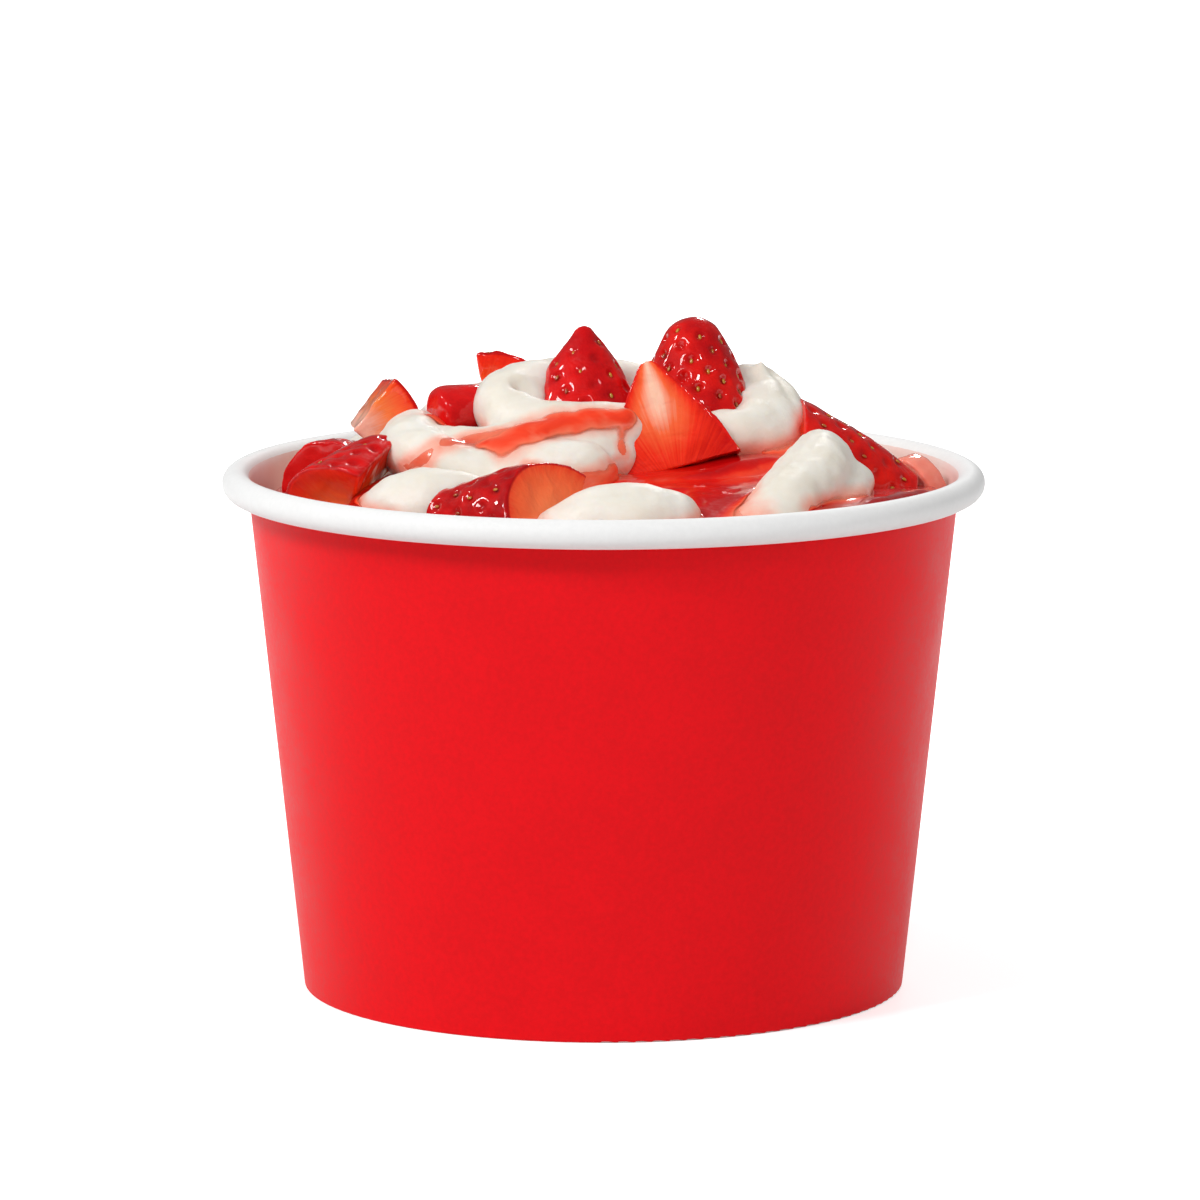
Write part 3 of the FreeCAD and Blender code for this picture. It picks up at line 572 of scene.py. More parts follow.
# films lie on the cream along a line of x, y, height above the rim and half width, so thick at most
# streams fill the hollows to a level: x, y, height above the rim and half width
sauce = {
    "films": {
        "band": (1.1, [
            (3.0, -11.8, 8.6, 1.9), (-2.7, -12.9, 8.4, 2.3), (-7.5, -14.4, 7.6, 2.9),
            (-11.2, -16.4, 6.6, 3.5), (-14.3, -17.6, 5.4, 3.2), (-17.0, -16.8, 5.2, 1.7),
        ]),
        "bandTail": (0.4, [
            (-14.0, -15.0, 6.8, 1.8), (-17.2, -15.4, 6.4, 1.9), (-20.1, -15.6, 6.0, 1.9),
            (-22.9, -18.3, 5.4, 2.0), (-25.8, -19.3, 3.7, 1.8), (-28.7, -17.2, 2.0, 1.6),
        ]),
        "besideHalf": (0.6, [
            (2.6, -12.2, 8.2, 0.9), (2.6, -13.6, 5.7, 1.0), (2.8, -14.8, 3.7, 1.0),
            (2.0, -18.0, 2.8, 1.0), (1.2, -20.0, 2.0, 1.6),
        ]),
        "valley": (0.5, [
            (-11.0, -22.0, 3.2, 0.9), (-7.0, -23.0, 2.2, 1.2), (-3.0, -22.8, 1.4, 1.4),
            (1.0, -20.6, 1.6, 1.6),
        ]),
        "valleyStreak": (0.7, [
            (-7.0, -22.8, 0.6, 0.6), (-3.0, -22.6, 0.2, 0.9), (2.0, -19.0, 0.4, 1.4),
        ]),
        "riverHead": (0.7, [(33.5, 3.0, 6.8, 1.8), (31.0, 1.0, 6.2, 1.8), (29.2, -2.0, 5.2, 2.0)]),
        "sauced": (0.9, [(-25.0, -3.0, 6.6, 2.0), (-22.0, -4.5, 6.4, 2.4), (-19.0, -6.5, 6.2, 1.8)]),
        "backRun": (1.2, [
            (8.0, 17.5, 10.0, 3.0), (6.0, 25.0, 10.6, 3.8), (4.0, 33.0, 3.5, 4.0),
            (5.0, 40.0, 3.0, 3.8), (7.0, 46.0, -2.0, 4.5),
        ]),
        "backBand": (1.0, [
            (24.0, 19.0, 8.0, 2.2), (16.0, 26.0, 9.6, 3.0), (6.0, 29.5, 9.6, 3.6),
            (-6.0, 30.0, 9.2, 3.2), (-16.0, 27.0, 8.2, 2.2),
        ]),
        "rightRun": (0.7, [(27.0, 8.0, 8.0, 1.5), (31.0, 11.0, 4.6, 1.9), (36.0, 12.0, 1.0, 2.2)]),
    },
    "streams": {
        "river": [
            (30.7, 4, 5.7, 1.8), (29.4, -1, 4.6, 2.2), (27.4, -6, 3.4, 2.8), (25.0, -11, 2.1, 3.6),
            (22.0, -16, 0.9, 4.8), (18.0, -22, 0.6, 6.0), (16.4, -30, 0.0, 6.5), (15.6, -37, -1.4, 7.0),
            (15.0, -45, -3.2, 7.0), (15.0, -52, -4.6, 7.0),
        ],
        "underHalf": [
            (2.5, -17.5, 0.6, 3.2), (9, -16, 1.2, 4.6), (14, -14.5, 1.9, 4.6), (19, -12.5, 2.9, 4.2),
            (23, -10, 3.0, 3.4),
        ],
        "beforeHalf": [(4, -21, 0.2, 3.2), (10, -22, 0.4, 5.0), (16, -22, 0.6, 5.0)],
        "rightFoot": [
            (32.5, -34, -1.4, 4.0), (36.5, -25, -1.2, 4.0), (40.0, -16, -1.8, 4.5),
            (43.5, -7, -2.6, 4.5), (46, 3, -3.6, 4.0),
        ],
        "rightEdge": [
            (36.5, -37, -3.2, 4.0), (43.5, -26, -3.0, 4.0), (48, -14, -3.4, 4.0), (50, -3, -4.0, 3.0),
        ],
        "leftFoot": [
            (-30.5, -14, 0.8, 2.8), (-33.0, -19, -0.4, 3.0), (-34.6, -26, -1.8, 3.2),
            (-33.5, -36, -3.2, 4.4),
        ],
        "leftBack": [(-45, -8, -3.6, 4.0), (-47, 2, -4.2, 3.6), (-44, 12, -4.2, 4.0)],
        "front": [(-9.5, -33, -2.2, 3.4), (-11, -42, -3.2, 4.0), (-22, -45, -4.0, 3.4)],
        "backFoot": [(-6, 43, -3.8, 4.5), (8, 46, -3.6, 5.0), (20, 42, -3.8, 4.0)],
        "backHollow": [(33, 8, 0.6, 2.6), (36, 14, -1.0, 3.0)],
    },
    "wetting": 0.3,  # film left on the cream beside a stream
    # shares of the half width between which a film or a stream thins out, and its stain fades
    "filmEdge": (0.25, 1.2),
    "filmStain": (0.7, 2.2),
    "streamEdge": (0.75, 1.25),
    "streamStain": (0.9, 1.7),
    "swell": (0.25, 9.0, 2.0),  # height, size and seed of the slow waves on a stream
    "ragged": [(0.7, 4.0, 5.5), (0.3, 1.6, 2.2)],  # height, size and seed of the unevenness of its edges
    "skin": 0.16,  # least thickness where there is any
    "sunk": 0.3,  # how far its underside is in the cream
    "lowest": 9.0,  # below the rim, where no sauce goes
}


# thickness of film, height of the stream over it, and stain of the cream at a point of its surface
def sauceAt(v):
    flat = Vector((v.co.x, v.co.y))
    spot = Vector((v.co.x, v.co.y, v.co.z - cup["height"]))
    ragged = sum(height * lumps(v.co, size, seed) for height, size, seed in sauce["ragged"])
    wave, waveSize, waveSeed = sauce["swell"]
    cover, height, stain = 0.0, 0.0, 0.0
    for thickness, run in sauce["films"].values():
        gap, (width,) = nearest(spot, run)
        gap = (gap + ragged) / width
        if gap < 3:
            cover = max(cover, (1 - smoothStep(*sauce["filmEdge"], gap)) * thickness)
            stain = max(stain, 0.75 * (1 - smoothStep(*sauce["filmStain"], gap)))
    for run in sauce["streams"].values():
        gap, (level, width) = nearest(flat, run)
        gap = (gap + ragged) / width
        if gap < 2:
            share = 1 - smoothStep(*sauce["streamEdge"], gap)
            rise = level + wave * lumps(v.co, waveSize, waveSeed) - spot.z
            height = max(height, rise * share)
            near = 1 - smoothStep(-0.2, 1.4, -rise)
            cover = max(cover, sauce["wetting"] * share * near)
            aside = 1 - smoothStep(*sauce["streamStain"], gap)
            stain = max(stain, 0.8 * aside * (1 - smoothStep(0.4, 3.2, -rise)))
    return cover, height, stain


def makeSauce():
    stain = creamShape.verts.layers.float.new("stain")
    film = {}
    for v in creamShape.verts:
        if v.co.z < cup["height"] - sauce["lowest"] or v.normal.z < -0.5:
            continue
        cover, height, v[stain] = sauceAt(v)
        if cover > 0.02 or height > 0.05:
            film[v.index] = cover, max(height, 0.0)
    bm = creamShape.copy()
    spare = [f for f in bm.faces if not any(v.index in film for v in f.verts)]
    depth = bm.verts.layers.float.new("depth")
    push = bm.verts.layers.float_vector.new("push")
    for v in bm.verts:
        cover, height = film.get(v.index, (0.0, 0.0))
        v[depth] = cover + height
        v[push] = v.normal * (cover + sauce["skin"]) + Vector((0, 0, height))
        v.co -= v.normal * sauce["sunk"]
    bmesh.ops.delete(bm, geom=spare, context="FACES")
    top = bmesh.ops.extrude_face_region(bm, geom=bm.faces[:])["geom"]
    top = {g for g in top if isinstance(g, bmesh.types.BMVert)}
    for v in top:
        v.co += v[push]
    edge = {v for v in top if any(e.other_vert(v) not in top for e in v.link_edges)}
    relax(bm, 8, [v for v in top if v not in edge])
    for v in bm.verts:
        keepInside(v)
    bmesh.ops.recalc_face_normals(bm, faces=bm.faces)
    return bm


sauceShape = makeSauce()
print("sauce laid:", len(sauceShape.verts), "points")


# strawberries

# whole berry's length and width, wedge angle, cuts from the hulled end, tip radius;
# bearing, distance from the cup's axis and height above the rim of the piece's middle;
# yaw, pitch and roll of the line the skin faces
# slant tilts the lower cut, in degrees; soften rounds the edges; pits is how deep the seeds lie in mm;
# seedShare is how many of the seeds still show
berries = {
    "berryFrontHalf": {
        "size": (27.0, 24.5), "wedge": 180, "cuts": (10.5, 27.0), "tip": 2.0,
        "place": (-42.5, 0.217, 8.2), "turn": (87.0, 17.5, -15.2), "look": "half",
    },
    "berryTopTip": {
        "size": (30.0, 25.0), "wedge": 360, "cuts": (15.5, 30.0), "tip": 5.0,
        "place": (21.5, 0.274, 14.2), "turn": (0.0, -0.0, -6.8), "look": "tip", "pits": 0.75,
    },
    "berryLeftTip": {
        "size": (28.0, 27.0), "wedge": 210, "cuts": (16.0, 28.0), "tip": 1.6,
        "place": (163.3, 0.04, 14.6), "turn": (-75.3, -2.9, -0.6), "look": "wet", "seedShare": 0.6,
    },
    "berryBackChunk": {
        "size": (30.0, 22.0), "wedge": 90, "cuts": (5.0, 14.0), "tip": 3.0,
        "place": (126.4, 0.456, 7.8), "turn": (10.3, -56.7, -101.9), "look": "deep",
    },
    "berrySauced": {
        "size": (22.0, 11.0), "wedge": 360, "cuts": (4.5, 14.0), "tip": 3.0,
        "place": (172.8, 0.401, 7.0), "turn": (-78.7, -59.0, -78.2), "look": "sauced",
        "soften": 170, "pits": 0.0,
    },
    "berryLeftCube": {
        "size": (30.0, 20.0), "wedge": 90, "cuts": (5.0, 14.0), "tip": 3.0,
        "place": (164.3, 0.658, 5.2), "turn": (6.1, -6.0, -89.4), "look": "pale",
    },
    "berryLeftBack": {
        "size": (28.0, 16.0), "wedge": 140, "cuts": (6.0, 16.0), "tip": 3.0,
        "place": (173.4, 0.77, -0.9), "turn": (166.0, -65.4, 81.0), "look": "sauced",
        "soften": 8, "seedShare": 0.3,
    },
    "berryLeftFront": {
        "size": (30.0, 22.0), "wedge": 110, "cuts": (8.0, 22.0), "tip": 3.0,
        "place": (-158.8, 0.758, 1.4), "turn": (-166.4, -50.7, 37.4), "look": "deep", "seedShare": 0.15,
    },
    "berryFrontRim": {
        "size": (30.0, 24.0), "wedge": 170, "cuts": (14.0, 29.4), "tip": 2.4,
        "place": (-119.2, 0.783, 0.2), "turn": (-100.3, -56.0, 79.2), "look": "salmon",
        "slant": 40.0, "seedShare": 0.45,
    },
    "berryRightSlab": {
        "size": (30.0, 24.0), "wedge": 90, "cuts": (6.5, 26.0), "tip": 3.0,
        "place": (0.3, 0.722, 0.4), "turn": (-67.4, -49.1, -108.0), "look": "ripe",
    },
    "berryRightSmall": {
        "size": (20.0, 12.0), "wedge": 90, "cuts": (5.0, 9.0), "tip": 2.5,
        "place": (9.7, 0.917, -3.2), "turn": (-63.4, -46.2, -66.2), "look": "pink",
        "seedShare": 0.0, "pits": 0.1,
    },
    "berryBackRight": {
        "size": (30.0, 23.0), "wedge": 150, "cuts": (10.0, 24.0), "tip": 3.0,
        "place": (47.2, 0.71, 3.2), "turn": (50.2, -37.5, 84.6), "look": "ripe",
    },
    "berryBackMiddle": {
        "size": (28.0, 22.0), "wedge": 120, "cuts": (5.0, 16.0), "tip": 3.0,
        "place": (87.0, 0.735, 0.5), "turn": (80.5, -51.0, 110.0), "look": "pale",
    },
    "berryBackLeft": {
        "size": (30.0, 22.0), "wedge": 180, "cuts": (15.0, 30.0), "tip": 3.5,
        "place": (126.0, 0.788, 2.5), "turn": (140.2, -37.5, 4.8), "look": "tip",
    },
}
berryForm = {
    "voxel": 0.3,
    "levels": 28,
    "shoulder": 5.0,
    "wedgeMiddle": 0.3,  # from a wedge's edge to its middle, as a share of the width
    "pitSpacing": 3.1,
    "pitReach": 1.2,
    "pitDepth": 0.36,
    "seed": (0.26, 0.44, 0.16),
    "seedShare": 0.75,  # pits whose seed still shows
    "fanRoot": 5.0,  # the pale fibres spread from a point this far below the lower cut
}


# radius of the whole berry at a height above its hulled end
def berryRadius(values, up):
    length, width = values["size"]
    tip, shoulder = values["tip"], berryForm["shoulder"]
    shoulderX = width / 2 - shoulder
    tipZ = length - tip
    apart = math.hypot(shoulderX, tipZ - shoulder)
    swing = math.atan2(tipZ - shoulder, -shoulderX)
    flank = swing - math.acos((shoulder - tip) / apart)
    low = shoulder + shoulder * math.sin(flank)
    high = tipZ + tip * math.sin(flank)
    if up <= low:
        return shoulderX + math.sqrt(max(shoulder**2 - (shoulder - up) ** 2, 0.0))
    if up >= high:
        return math.sqrt(max(tip**2 - (up - tipZ) ** 2, 0.0))
    share = (up - low) / (high - low)
    lowX = shoulderX + shoulder * math.cos(flank)
    highX = tip * math.cos(flank)
    return lowX + (highX - lowX) * share + 0.035 * width * math.sin(math.pi * share)


def berryPlacing(values):
    bearing, out, rise = values["place"]
    yaw, pitch, roll = (math.radians(a) for a in values["turn"])
    reach = out * cup["mouthRadius"]
    bearing = math.radians(bearing)
    spot = Vector((reach * math.cos(bearing), reach * math.sin(bearing), cup["height"] + rise))
    turn = Matrix.Rotation(yaw, 4, "Z") @ Matrix.Rotation(pitch, 4, "Y") @ Matrix.Rotation(roll, 4, "X")
    low, high = values["cuts"]
    inset = berryForm["wedgeMiddle"] * values["size"][1] * (1 - values["wedge"] / 360)
    return Matrix.Translation(spot) @ turn @ Matrix.Translation((-inset, 0, -(low + high) / 2))


# seed places over the piece's skin, in the spiral that seeds grow in
def pitSpots(values, rng):
    length = values["size"][0]
    low, high = values["cuts"]
    half = math.radians(values["wedge"]) / 2
    up, turn = length - 1.2, rng.uniform(0, math.tau)
    spots = []
    while up > 2.0:
        radius = max(berryRadius(values, up), 0.8)
        angle = (turn + math.pi) % math.tau - math.pi
        margin = 0.9 / radius
        if low + 0.6 < up < high - 0.3 and (values["wedge"] == 360 or abs(angle) < half - margin):
            jitter = rng.uniform(-0.25, 0.25)
            spots.append((radius, angle + jitter / radius, up + rng.uniform(-0.25, 0.25)))
        up -= berryForm["pitSpacing"] ** 2 / (math.tau * radius) * 0.92
        turn += goldenAngle
    return spots


def makeBerry(name, values, rng, seedShape):
    bm = bmesh.new()
    length = values["size"][0]
    whole = values["wedge"] == 360
    wedge = math.radians(values["wedge"])
    steps = berryForm["levels"]
    levels = [length * (1 - math.cos(math.pi * k / steps)) / 2 for k in range(steps + 1)]
    outline = [(berryRadius(values, up), up) for up in levels]
    outline[-1] = (0.0, length)
    verts = [bm.verts.new((0, 0, 0))] + [bm.verts.new((r, 0, z)) for r, z in outline]
    edges = [bm.edges.new(pair) for pair in zip(verts, verts[1:])]
    geom = verts + edges
    if not whole:
        geom.append(bm.faces.new(verts))
    bmesh.ops.rotate(bm, verts=bm.verts, cent=(0, 0, 0), matrix=Matrix.Rotation(-wedge / 2, 3, "Z"))
    bmesh.ops.spin(bm, geom=geom, cent=(0, 0, 0), axis=(0, 0, 1), angle=wedge, steps=48, use_merge=whole)
    bmesh.ops.remove_doubles(bm, verts=bm.verts, dist=0.01)
    for level, way in zip(values["cuts"], (-1, 1)):
        if 0 < level < length:
            slant = math.radians(values.get("slant", 0.0)) if way < 0 else 0.0
            hinge = berryRadius(values, level) if slant else 0  # a slanted cut starts at the skin
            bmesh.ops.bisect_plane(
                bm, geom=bm.verts[:] + bm.edges[:] + bm.faces[:], plane_co=(hinge, 0, level),
                plane_no=(math.sin(slant), 0, way * math.cos(slant)), clear_outer=True,
            )
            bmesh.ops.holes_fill(bm, edges=[e for e in bm.edges if e.is_boundary])
    bmesh.ops.recalc_face_normals(bm, faces=bm.faces)
    bm = remeshed(bm, berryForm["voxel"])
    relax(bm, values.get("soften", 3))

    # how deep each point lies under the skin, and where it is in the berry
    under = bm.verts.layers.float.new("underSkin")
    # the pit mask marks the seed pits, where the material paints shade
    pitShade = bm.verts.layers.float.new("pitShade")
    inBerry = bm.verts.layers.float_vector.new("inBerry")
    fan = bm.verts.layers.float.new("fan")
    root = values["cuts"][0] - berryForm["fanRoot"]
    seed = rng.uniform(0, 50)
    for v in bm.verts:
        reach = math.hypot(v.co.x, v.co.y)
        full = max(berryRadius(values, min(max(v.co.z, 0), length - 0.01)), 0.3)
        v[under] = max(full - reach, 0.0)
        v[inBerry] = Vector((math.atan2(v.co.y, v.co.x), reach / full, v.co.z / length))
        rise = max(v.co.z - root, 0.5)
        v[fan] = math.atan2(v.co.y, rise) + 0.5 * math.atan2(v.co.x, rise)

    bm.normal_update()
    spots = pitSpots(values, rng)
    seeds = []
    deep = values.get("pits", berryForm["pitDepth"])
    for radius, angle, up in spots:
        centre = Vector((radius * math.cos(angle), radius * math.sin(angle), up))
        slope = (berryRadius(values, min(up + 0.5, length - 0.01)) - berryRadius(values, up - 0.5))
        outward = Vector((math.cos(angle), math.sin(angle), -slope)).normalized()
        seeds.append((centre - outward * (deep * 0.62), outward))
    for v in bm.verts:
        if v[under] < 0.9:
            sink = 0.0
            for (radius, angle, up), (centre, outward) in zip(spots, seeds):
                if abs(v.co.z - up) < berryForm["pitReach"]:
                    gap = (v.co - centre).length
                    if gap < berryForm["pitReach"] + 0.4:
                        sink = max(sink, 1 - smoothStep(0.25, berryForm["pitReach"], gap))
            # the pit depth is kept as the mask for the painted shade in the pits
            v[pitShade] = sink
            skinShare = 1 - smoothStep(0.3, 0.9, v[under])
            v.co -= v.normal * sink * deep * skinShare
        v.co += v.normal * (0.16 * lumps(v.co, 2.2, seed) + 0.3 * lumps(v.co, 5.5, seed + 9))
    relax(bm, 1)

    placing = berryPlacing(values)
    if values["look"] != "sauced":
        for centre, outward in seeds:
            if rng.random() > values.get("seedShare", berryForm["seedShare"]):
                continue
            tilt = outward.to_track_quat("Z", "Y").to_matrix().to_4x4()
            added = bmesh.ops.create_uvsphere(seedShape, u_segments=8, v_segments=5, radius=1.0)["verts"]
            grain = Matrix.Diagonal((*berryForm["seed"], 1))
            seated = placing @ Matrix.Translation(centre) @ tilt @ grain
            bmesh.ops.transform(seedShape, matrix=seated, verts=added)
    bmesh.ops.transform(bm, matrix=placing, verts=bm.verts)
    return bm


def creamMaterial():
    material, tree, shader = newMaterial(
        "softCream", Roughness=0.42, Specular_IOR_Level=0.35, Subsurface_Weight=0.3,
        Subsurface_Scale=0.0025, Subsurface_Radius=(1.0, 0.82, 0.6),
    )
    point = objectPoint(tree)
    cloud = noiseNode(tree, point, 140.0, 4.0, 0.6)
    tone = ramp(tree, cloud.outputs[0], [(0.3, creamTones["shade"]), (0.65, creamTones["light"])])
    # juice bleeds into the cream beside the sauce
    run = noiseNode(tree, point, 260.0, 3.0, 0.6)
    uneven = calc(tree, "MULTIPLY_ADD", run.outputs[0], 0.5, -0.25)
    soak = calc(tree, "ADD", attribute(tree, "stain")["Fac"], uneven)
    soak = ramp(tree, soak, [(0.12, (0, 0, 0)), (0.9, (1, 1, 1))])
    stained = ramp(tree, soak, [(0.0, creamTones["bleed"]), (1.0, creamTones["soaked"])])
    tone = blend(tree, soak, tone, stained)
    tree.links.new(tone, shader.inputs["Base Color"])
    fine = noiseNode(tree, point, 700.0, 4.0, 0.6)
    giveBump(tree, shader, fine.outputs[0], 0.0004, 0.3)
    return material


def sauceMaterial():
    material, tree, shader = newMaterial(
        "berrySauceGloss", Roughness=0.3, Specular_IOR_Level=0.06, Coat_Weight=1.0, Coat_Roughness=0.03,
        Coat_IOR=1.4,
    )
    point = objectPoint(tree)
    depth = attribute(tree, "depth")["Fac"]
    film = useGroup(tree, wetFilm, {"Vector": point, "Swell": 220.0, "Bead": 900.0})
    uneven = calc(tree, "MULTIPLY_ADD", film["Tone"], 0.5, -0.25)
    share = calc(tree, "ADD", calc(tree, "MULTIPLY", depth, sauceTones["perMm"]), uneven)
    colour = ramp(tree, share, [
        (0.0, sauceTones["film"]), (0.3, sauceTones["thin"]),
        (0.6, sauceTones["full"]), (1.0, sauceTones["deep"]),
    ])
    tree.links.new(colour, shader.inputs["Base Color"])
    tree.links.new(mapRange(tree, depth, 0.03, 0.55), shader.inputs["Alpha"])
    giveBump(tree, shader, film["Height"], 0.0006, 0.5)
    return material


# skin, flesh and pale core by depth under the skin, under a coat of juice
def berryMaterial(name, look):
    material, tree, shader = newMaterial(
        name, Roughness=0.4, Specular_IOR_Level=0.06, Coat_Weight=1.0, Coat_Roughness=0.025, Coat_IOR=1.37,
        Subsurface_Weight=0.12, Subsurface_Scale=0.0015, Subsurface_Radius=(1.0, 0.15, 0.06),
    )
    point = objectPoint(tree)
    under = attribute(tree, "underSkin")["Fac"]
    place = addNode(tree, "SeparateXYZ", {0: attribute(tree, "inBerry")["Vector"]})
    turn, reach, up = place.outputs
    # pale fibres run from the core out to the skin
    fan = attribute(tree, "fan")["Fac"]
    spread = addNode(tree, "CombineXYZ", {
        0: calc(tree, "MULTIPLY", turn, 6.0),
        1: calc(tree, "MULTIPLY", fan, 16.0),
        2: calc(tree, "MULTIPLY", reach, 0.8),
    })
    fibre = noiseNode(tree, spread.outputs[0], 1.5, 3.0, 0.6)
    cloud = noiseNode(tree, point, 220.0, 3.0)
    paleEnd = mapRange(tree, up, *look.get("paleFrom", (0.0, 0.01)), look.get("lowShare", 1.0), 1.0)
    inward = calc(tree, "SUBTRACT", 1.0, reach)
    fromSkin = calc(tree, "MULTIPLY", under, look["reach"])
    depthShare = calc(tree, "MULTIPLY_ADD", inward, look.get("axis", 0.0), fromSkin)
    depthShare = calc(tree, "MULTIPLY", depthShare, paleEnd)
    depthShare = calc(tree, "ADD", depthShare, calc(tree, "MULTIPLY_ADD", fibre.outputs[0], 0.44, -0.22))
    flesh = ramp(tree, depthShare, [
        (0.0, look["rim"]), (0.25, look["outer"]), (0.6, look["inner"]), (1.0, look["heart"]),
    ])
    skinTone = ramp(tree, cloud.outputs[0], [(0.35, look["skinDark"]), (0.65, look["skin"])])
    # painted shade: the skin is darkened towards the look's pit colour in the seed pits, where shade falls
    pitShade = attribute(tree, "pitShade")["Fac"]
    skinTone = blend(tree, calc(tree, "MULTIPLY", pitShade, 0.4), skinTone, (*look["pitShade"], 1))
    isFlesh = mapRange(tree, under, 0.35, 0.75)
    tree.links.new(blend(tree, isFlesh, skinTone, flesh), shader.inputs["Base Color"])
    film = useGroup(tree, wetFilm, {"Vector": point, "Swell": 300.0, "Bead": 1500.0})
    giveBump(tree, shader, film["Height"], 0.0006, 0.6)
    return material


def seedMaterial():
    material, tree, shader = newMaterial(
        "berrySeedHusk", Roughness=0.35, Specular_IOR_Level=0.5, Coat_Weight=0.8, Coat_Roughness=0.08
    )
    point = objectPoint(tree)
    vary = noiseNode(tree, point, 260.0, 2.0)
    tone = ramp(tree, vary.outputs[0], [
        (0.35, (0.38, 0.05, 0.008)), (0.5, (0.55, 0.22, 0.02)), (0.65, (0.5, 0.34, 0.04)),
    ])
    tree.links.new(tone, shader.inputs["Base Color"])
    giveBump(tree, shader, vary.outputs[0], 0.0001, 0.3)
    return material


creamTones = {
    "light": (0.86, 0.83, 0.76), "shade": (0.80, 0.745, 0.64),
    "bleed": (0.93, 0.62, 0.50), "soaked": (0.95, 0.30, 0.20),
}
sauceTones = {
    "film": (0.95, 0.24, 0.13), "thin": (0.93, 0.06, 0.02),
    "full": (0.74, 0.008, 0.004), "deep": (0.50, 0.002, 0.003),
    "perMm": 0.30,  # how fast the colour deepens with the sauce's depth
}
# flesh runs from rim to heart by "reach", the share of that way gone per mm under the skin; each look's pit
# colour is painted shade for the seed pits
berryLooks = {
    "ripe": {
        "skin": (0.80, 0.010, 0.004), "skinDark": (0.56, 0.003, 0.004), "pitShade": (0.38, 0.002, 0.003),
        "rim": (0.76, 0.012, 0.005), "outer": (0.88, 0.035, 0.010), "inner": (0.93, 0.10, 0.03),
        "heart": (0.95, 0.34, 0.18), "reach": 0.13,
    },
    "tip": {
        "skin": (0.76, 0.008, 0.005), "skinDark": (0.50, 0.002, 0.004), "pitShade": (0.32, 0.002, 0.004),
        "rim": (0.76, 0.012, 0.005), "outer": (0.88, 0.04, 0.012), "inner": (0.93, 0.12, 0.04),
        "heart": (0.95, 0.36, 0.22), "reach": 0.13,
    },
    "wet": {
        "skin": (0.74, 0.006, 0.006), "skinDark": (0.52, 0.002, 0.005), "pitShade": (0.36, 0.002, 0.004),
        "rim": (0.80, 0.010, 0.006), "outer": (0.88, 0.025, 0.008), "inner": (0.92, 0.06, 0.02),
        "heart": (0.93, 0.14, 0.06), "reach": 0.10,
    },
    "half": {
        "skin": (0.80, 0.012, 0.006), "skinDark": (0.54, 0.004, 0.004), "pitShade": (0.36, 0.003, 0.004),
        "rim": (0.60, 0.004, 0.003), "outer": (0.90, 0.03, 0.008), "inner": (0.97, 0.15, 0.045),
        "heart": (0.97, 0.58, 0.42), "reach": 0.02, "axis": 1.05, "paleFrom": (0.40, 0.82), "lowShare": 0.2,
    },
    "salmon": {
        "skin": (0.66, 0.005, 0.005), "skinDark": (0.40, 0.002, 0.004), "pitShade": (0.28, 0.002, 0.003),
        "rim": (0.92, 0.04, 0.012), "outer": (0.97, 0.12, 0.035), "inner": (0.98, 0.17, 0.055),
        "heart": (0.98, 0.24, 0.09), "reach": 0.14,
    },
    "deep": {
        "skin": (0.74, 0.006, 0.006), "skinDark": (0.50, 0.003, 0.004), "pitShade": (0.32, 0.002, 0.004),
        "rim": (0.84, 0.010, 0.004), "outer": (0.92, 0.03, 0.007), "inner": (0.95, 0.09, 0.015),
        "heart": (0.96, 0.18, 0.04), "reach": 0.13,
    },
    "pale": {
        "skin": (0.80, 0.012, 0.006), "skinDark": (0.52, 0.004, 0.005), "pitShade": (0.36, 0.004, 0.004),
        "rim": (0.88, 0.02, 0.008), "outer": (0.97, 0.10, 0.015), "inner": (0.98, 0.21, 0.045),
        "heart": (0.97, 0.48, 0.36), "reach": 0.13,
    },
    "pink": {
        "skin": (0.93, 0.34, 0.26), "skinDark": (0.90, 0.24, 0.17), "pitShade": (0.86, 0.20, 0.14),
        "rim": (0.93, 0.34, 0.26), "outer": (0.94, 0.40, 0.32), "inner": (0.95, 0.50, 0.42),
        "heart": (0.95, 0.60, 0.52), "reach": 0.25,
    },
    "sauced": {
        "skin": (0.72, 0.008, 0.008), "skinDark": (0.56, 0.003, 0.005), "pitShade": (0.5, 0.003, 0.005),
        "rim": (0.66, 0.005, 0.006), "outer": (0.70, 0.006, 0.006), "inner": (0.66, 0.005, 0.006),
        "heart": (0.70, 0.006, 0.006), "reach": 0.1,
    },
}

berryMaterials = {look: berryMaterial(look + "Berry", values) for look, values in berryLooks.items()}
seedShape = bmesh.new()
rng = random.Random(14)
for name, values in berries.items():
    shape = makeBerry(name, values, rng, seedShape)
    finishPiece(name + "Piece", shape, berryMaterials[values["look"]], [name])
finishPiece("berrySeeds", seedShape, seedMaterial())
print("strawberries placed")

finishPiece("creamHeap", creamShape, creamMaterial(), ["iceCream"])
finishPiece("berrySauce", sauceShape, sauceMaterial())
print("cream and sauce done")


# studio

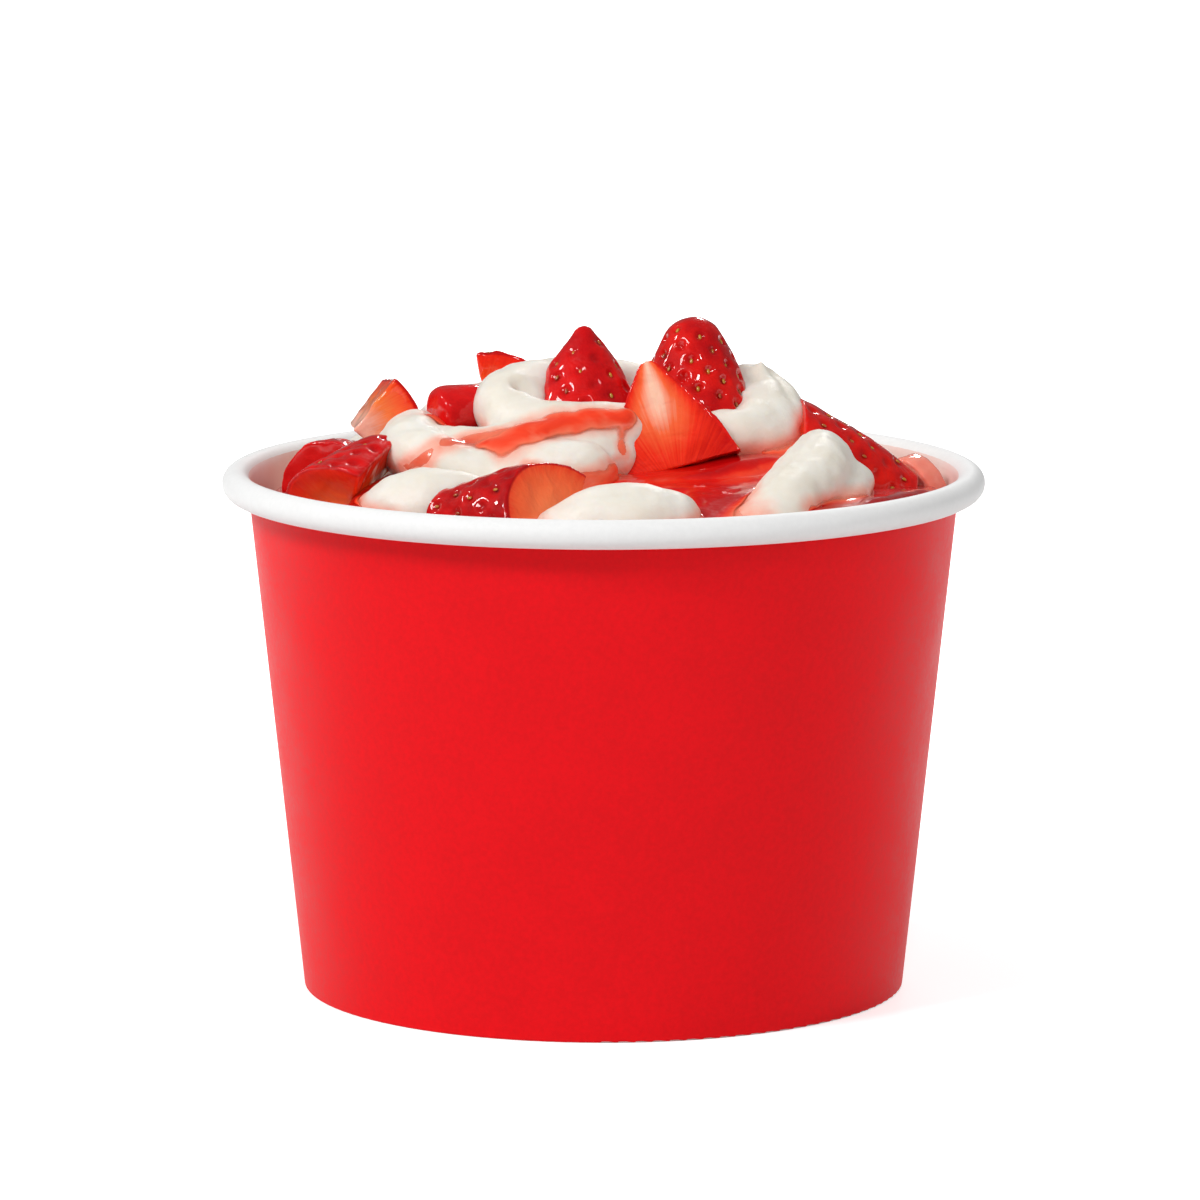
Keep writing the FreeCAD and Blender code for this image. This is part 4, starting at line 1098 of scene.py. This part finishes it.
studio = {
    "cameraDistance": 1.1810,
    "cameraRise": 9.891,  # degrees above the middle of the cup
    "cameraTilt": 8.999,  # degrees down
    "cameraAside": -0.00052,
    "lens": 240.09,
    "ambient": 0.34,
    "mirroredAmbient": 0.12,  # what wet surfaces reflect of it
    "lamps": {
        "key": {"at": (-0.70, -0.62, 0.90), "size": 0.30, "power": 7.7},
        "fill": {"at": (0.9, -0.7, 0.6), "size": 0.7, "power": 2.3, "mirrored": False},
        "back": {"at": (0.2, 0.9, 0.9), "size": 0.6, "power": 3.0, "mirrored": False},
        "glint": {"at": (0.10, -0.75, 0.85), "size": 0.11, "power": 1.4},
        "glintLeft": {"at": (-0.85, 0.10, 0.75), "size": 0.12, "power": 1.8},
        "glintBack": {"at": (0.15, 0.95, 0.55), "size": 0.10, "power": 0.9},
    },
    "aim": (0.0, 0.0, 0.07),
    "floorRadius": 4.0,
    "floorShadow": (0.05, 0.25),  # m from the cup's middle, over which the floor goes to white
    "floorDim": 0.55,
}


def addLamp(name, values):
    light = bpy.data.lights.new(name, "AREA")
    light.shape = "SQUARE"
    light.size = values["size"]
    light.energy = values["power"]
    lamp = bpy.data.objects.new(name, light)
    lamp.location = values["at"]
    lamp.visible_glossy = values.get("mirrored", True)  # broad lamps would lie as a veil on the wet sauce
    lamp.rotation_euler = (Vector(studio["aim"]) - lamp.location).to_track_quat("-Z", "Y").to_euler()
    bpy.context.scene.collection.objects.link(lamp)


def makeFloor():
    bm = bmesh.new()
    bmesh.ops.create_circle(bm, cap_ends=True, segments=96, radius=studio["floorRadius"])
    floor = meshObject("floor", bm)
    material, tree, shader = newMaterial("paleFloor", Roughness=0.8, Specular_IOR_Level=0.1)
    shader.inputs["Base Color"].default_value = (0.8, 0.8, 0.8, 1)
    path = addNode(tree, "LightPath").outputs
    mirrored = calc(tree, "MAXIMUM", path["Is Glossy Ray"], path["Is Transmission Ray"])
    seen = calc(tree, "MAXIMUM", path["Is Camera Ray"], mirrored)
    shader.inputs["Emission Color"].default_value = (1, 1, 1, 1)
    # beside the cup the floor keeps its shadow, further off it goes to plain white
    away = addNode(tree, "VectorMath", {0: objectPoint(tree)}, operation="LENGTH")
    glow = mapRange(tree, away.outputs["Value"], *studio["floorShadow"], studio["floorDim"], 1.0)
    tree.links.new(calc(tree, "MULTIPLY", seen, glow), shader.inputs["Emission Strength"])
    floor.data.materials.append(material)


def makeWorld():
    world = bpy.data.worlds.new("studio")
    bpy.context.scene.world = world
    world.use_nodes = True
    tree = world.node_tree
    sky = tree.nodes["Background"]
    path = addNode(tree, "LightPath").outputs
    # nothing here is metal or glass, and a white sky mirrored in wet berries would turn them milky
    around = mapRange(tree, path["Is Glossy Ray"], 0.0, 1.0, studio["ambient"], studio["mirroredAmbient"])
    strength = mapRange(tree, path["Is Camera Ray"], 0.0, 1.0, around, 1.0)
    sky.inputs["Color"].default_value = (1, 1, 1, 1)
    tree.links.new(strength, sky.inputs["Strength"])


def makeCamera():
    camera = bpy.data.cameras.new("camera")
    camera.lens = studio["lens"]
    camera.sensor_width = 36.0
    camera.clip_start, camera.clip_end = 0.05, 20.0
    viewer = bpy.data.objects.new("camera", camera)
    rise = math.radians(studio["cameraRise"])
    viewer.location = (
        studio["cameraAside"],
        -studio["cameraDistance"] * math.cos(rise),
        cup["height"] * mm / 2 + studio["cameraDistance"] * math.sin(rise),
    )
    viewer.rotation_euler = (math.radians(90 - studio["cameraTilt"]), 0, 0)
    bpy.context.scene.collection.objects.link(viewer)
    bpy.context.scene.camera = viewer


for name, values in studio["lamps"].items():
    addLamp(name, values)
makeFloor()
makeWorld()
makeCamera()
bpy.context.scene.view_settings.view_transform = "Standard"
print("studio set")
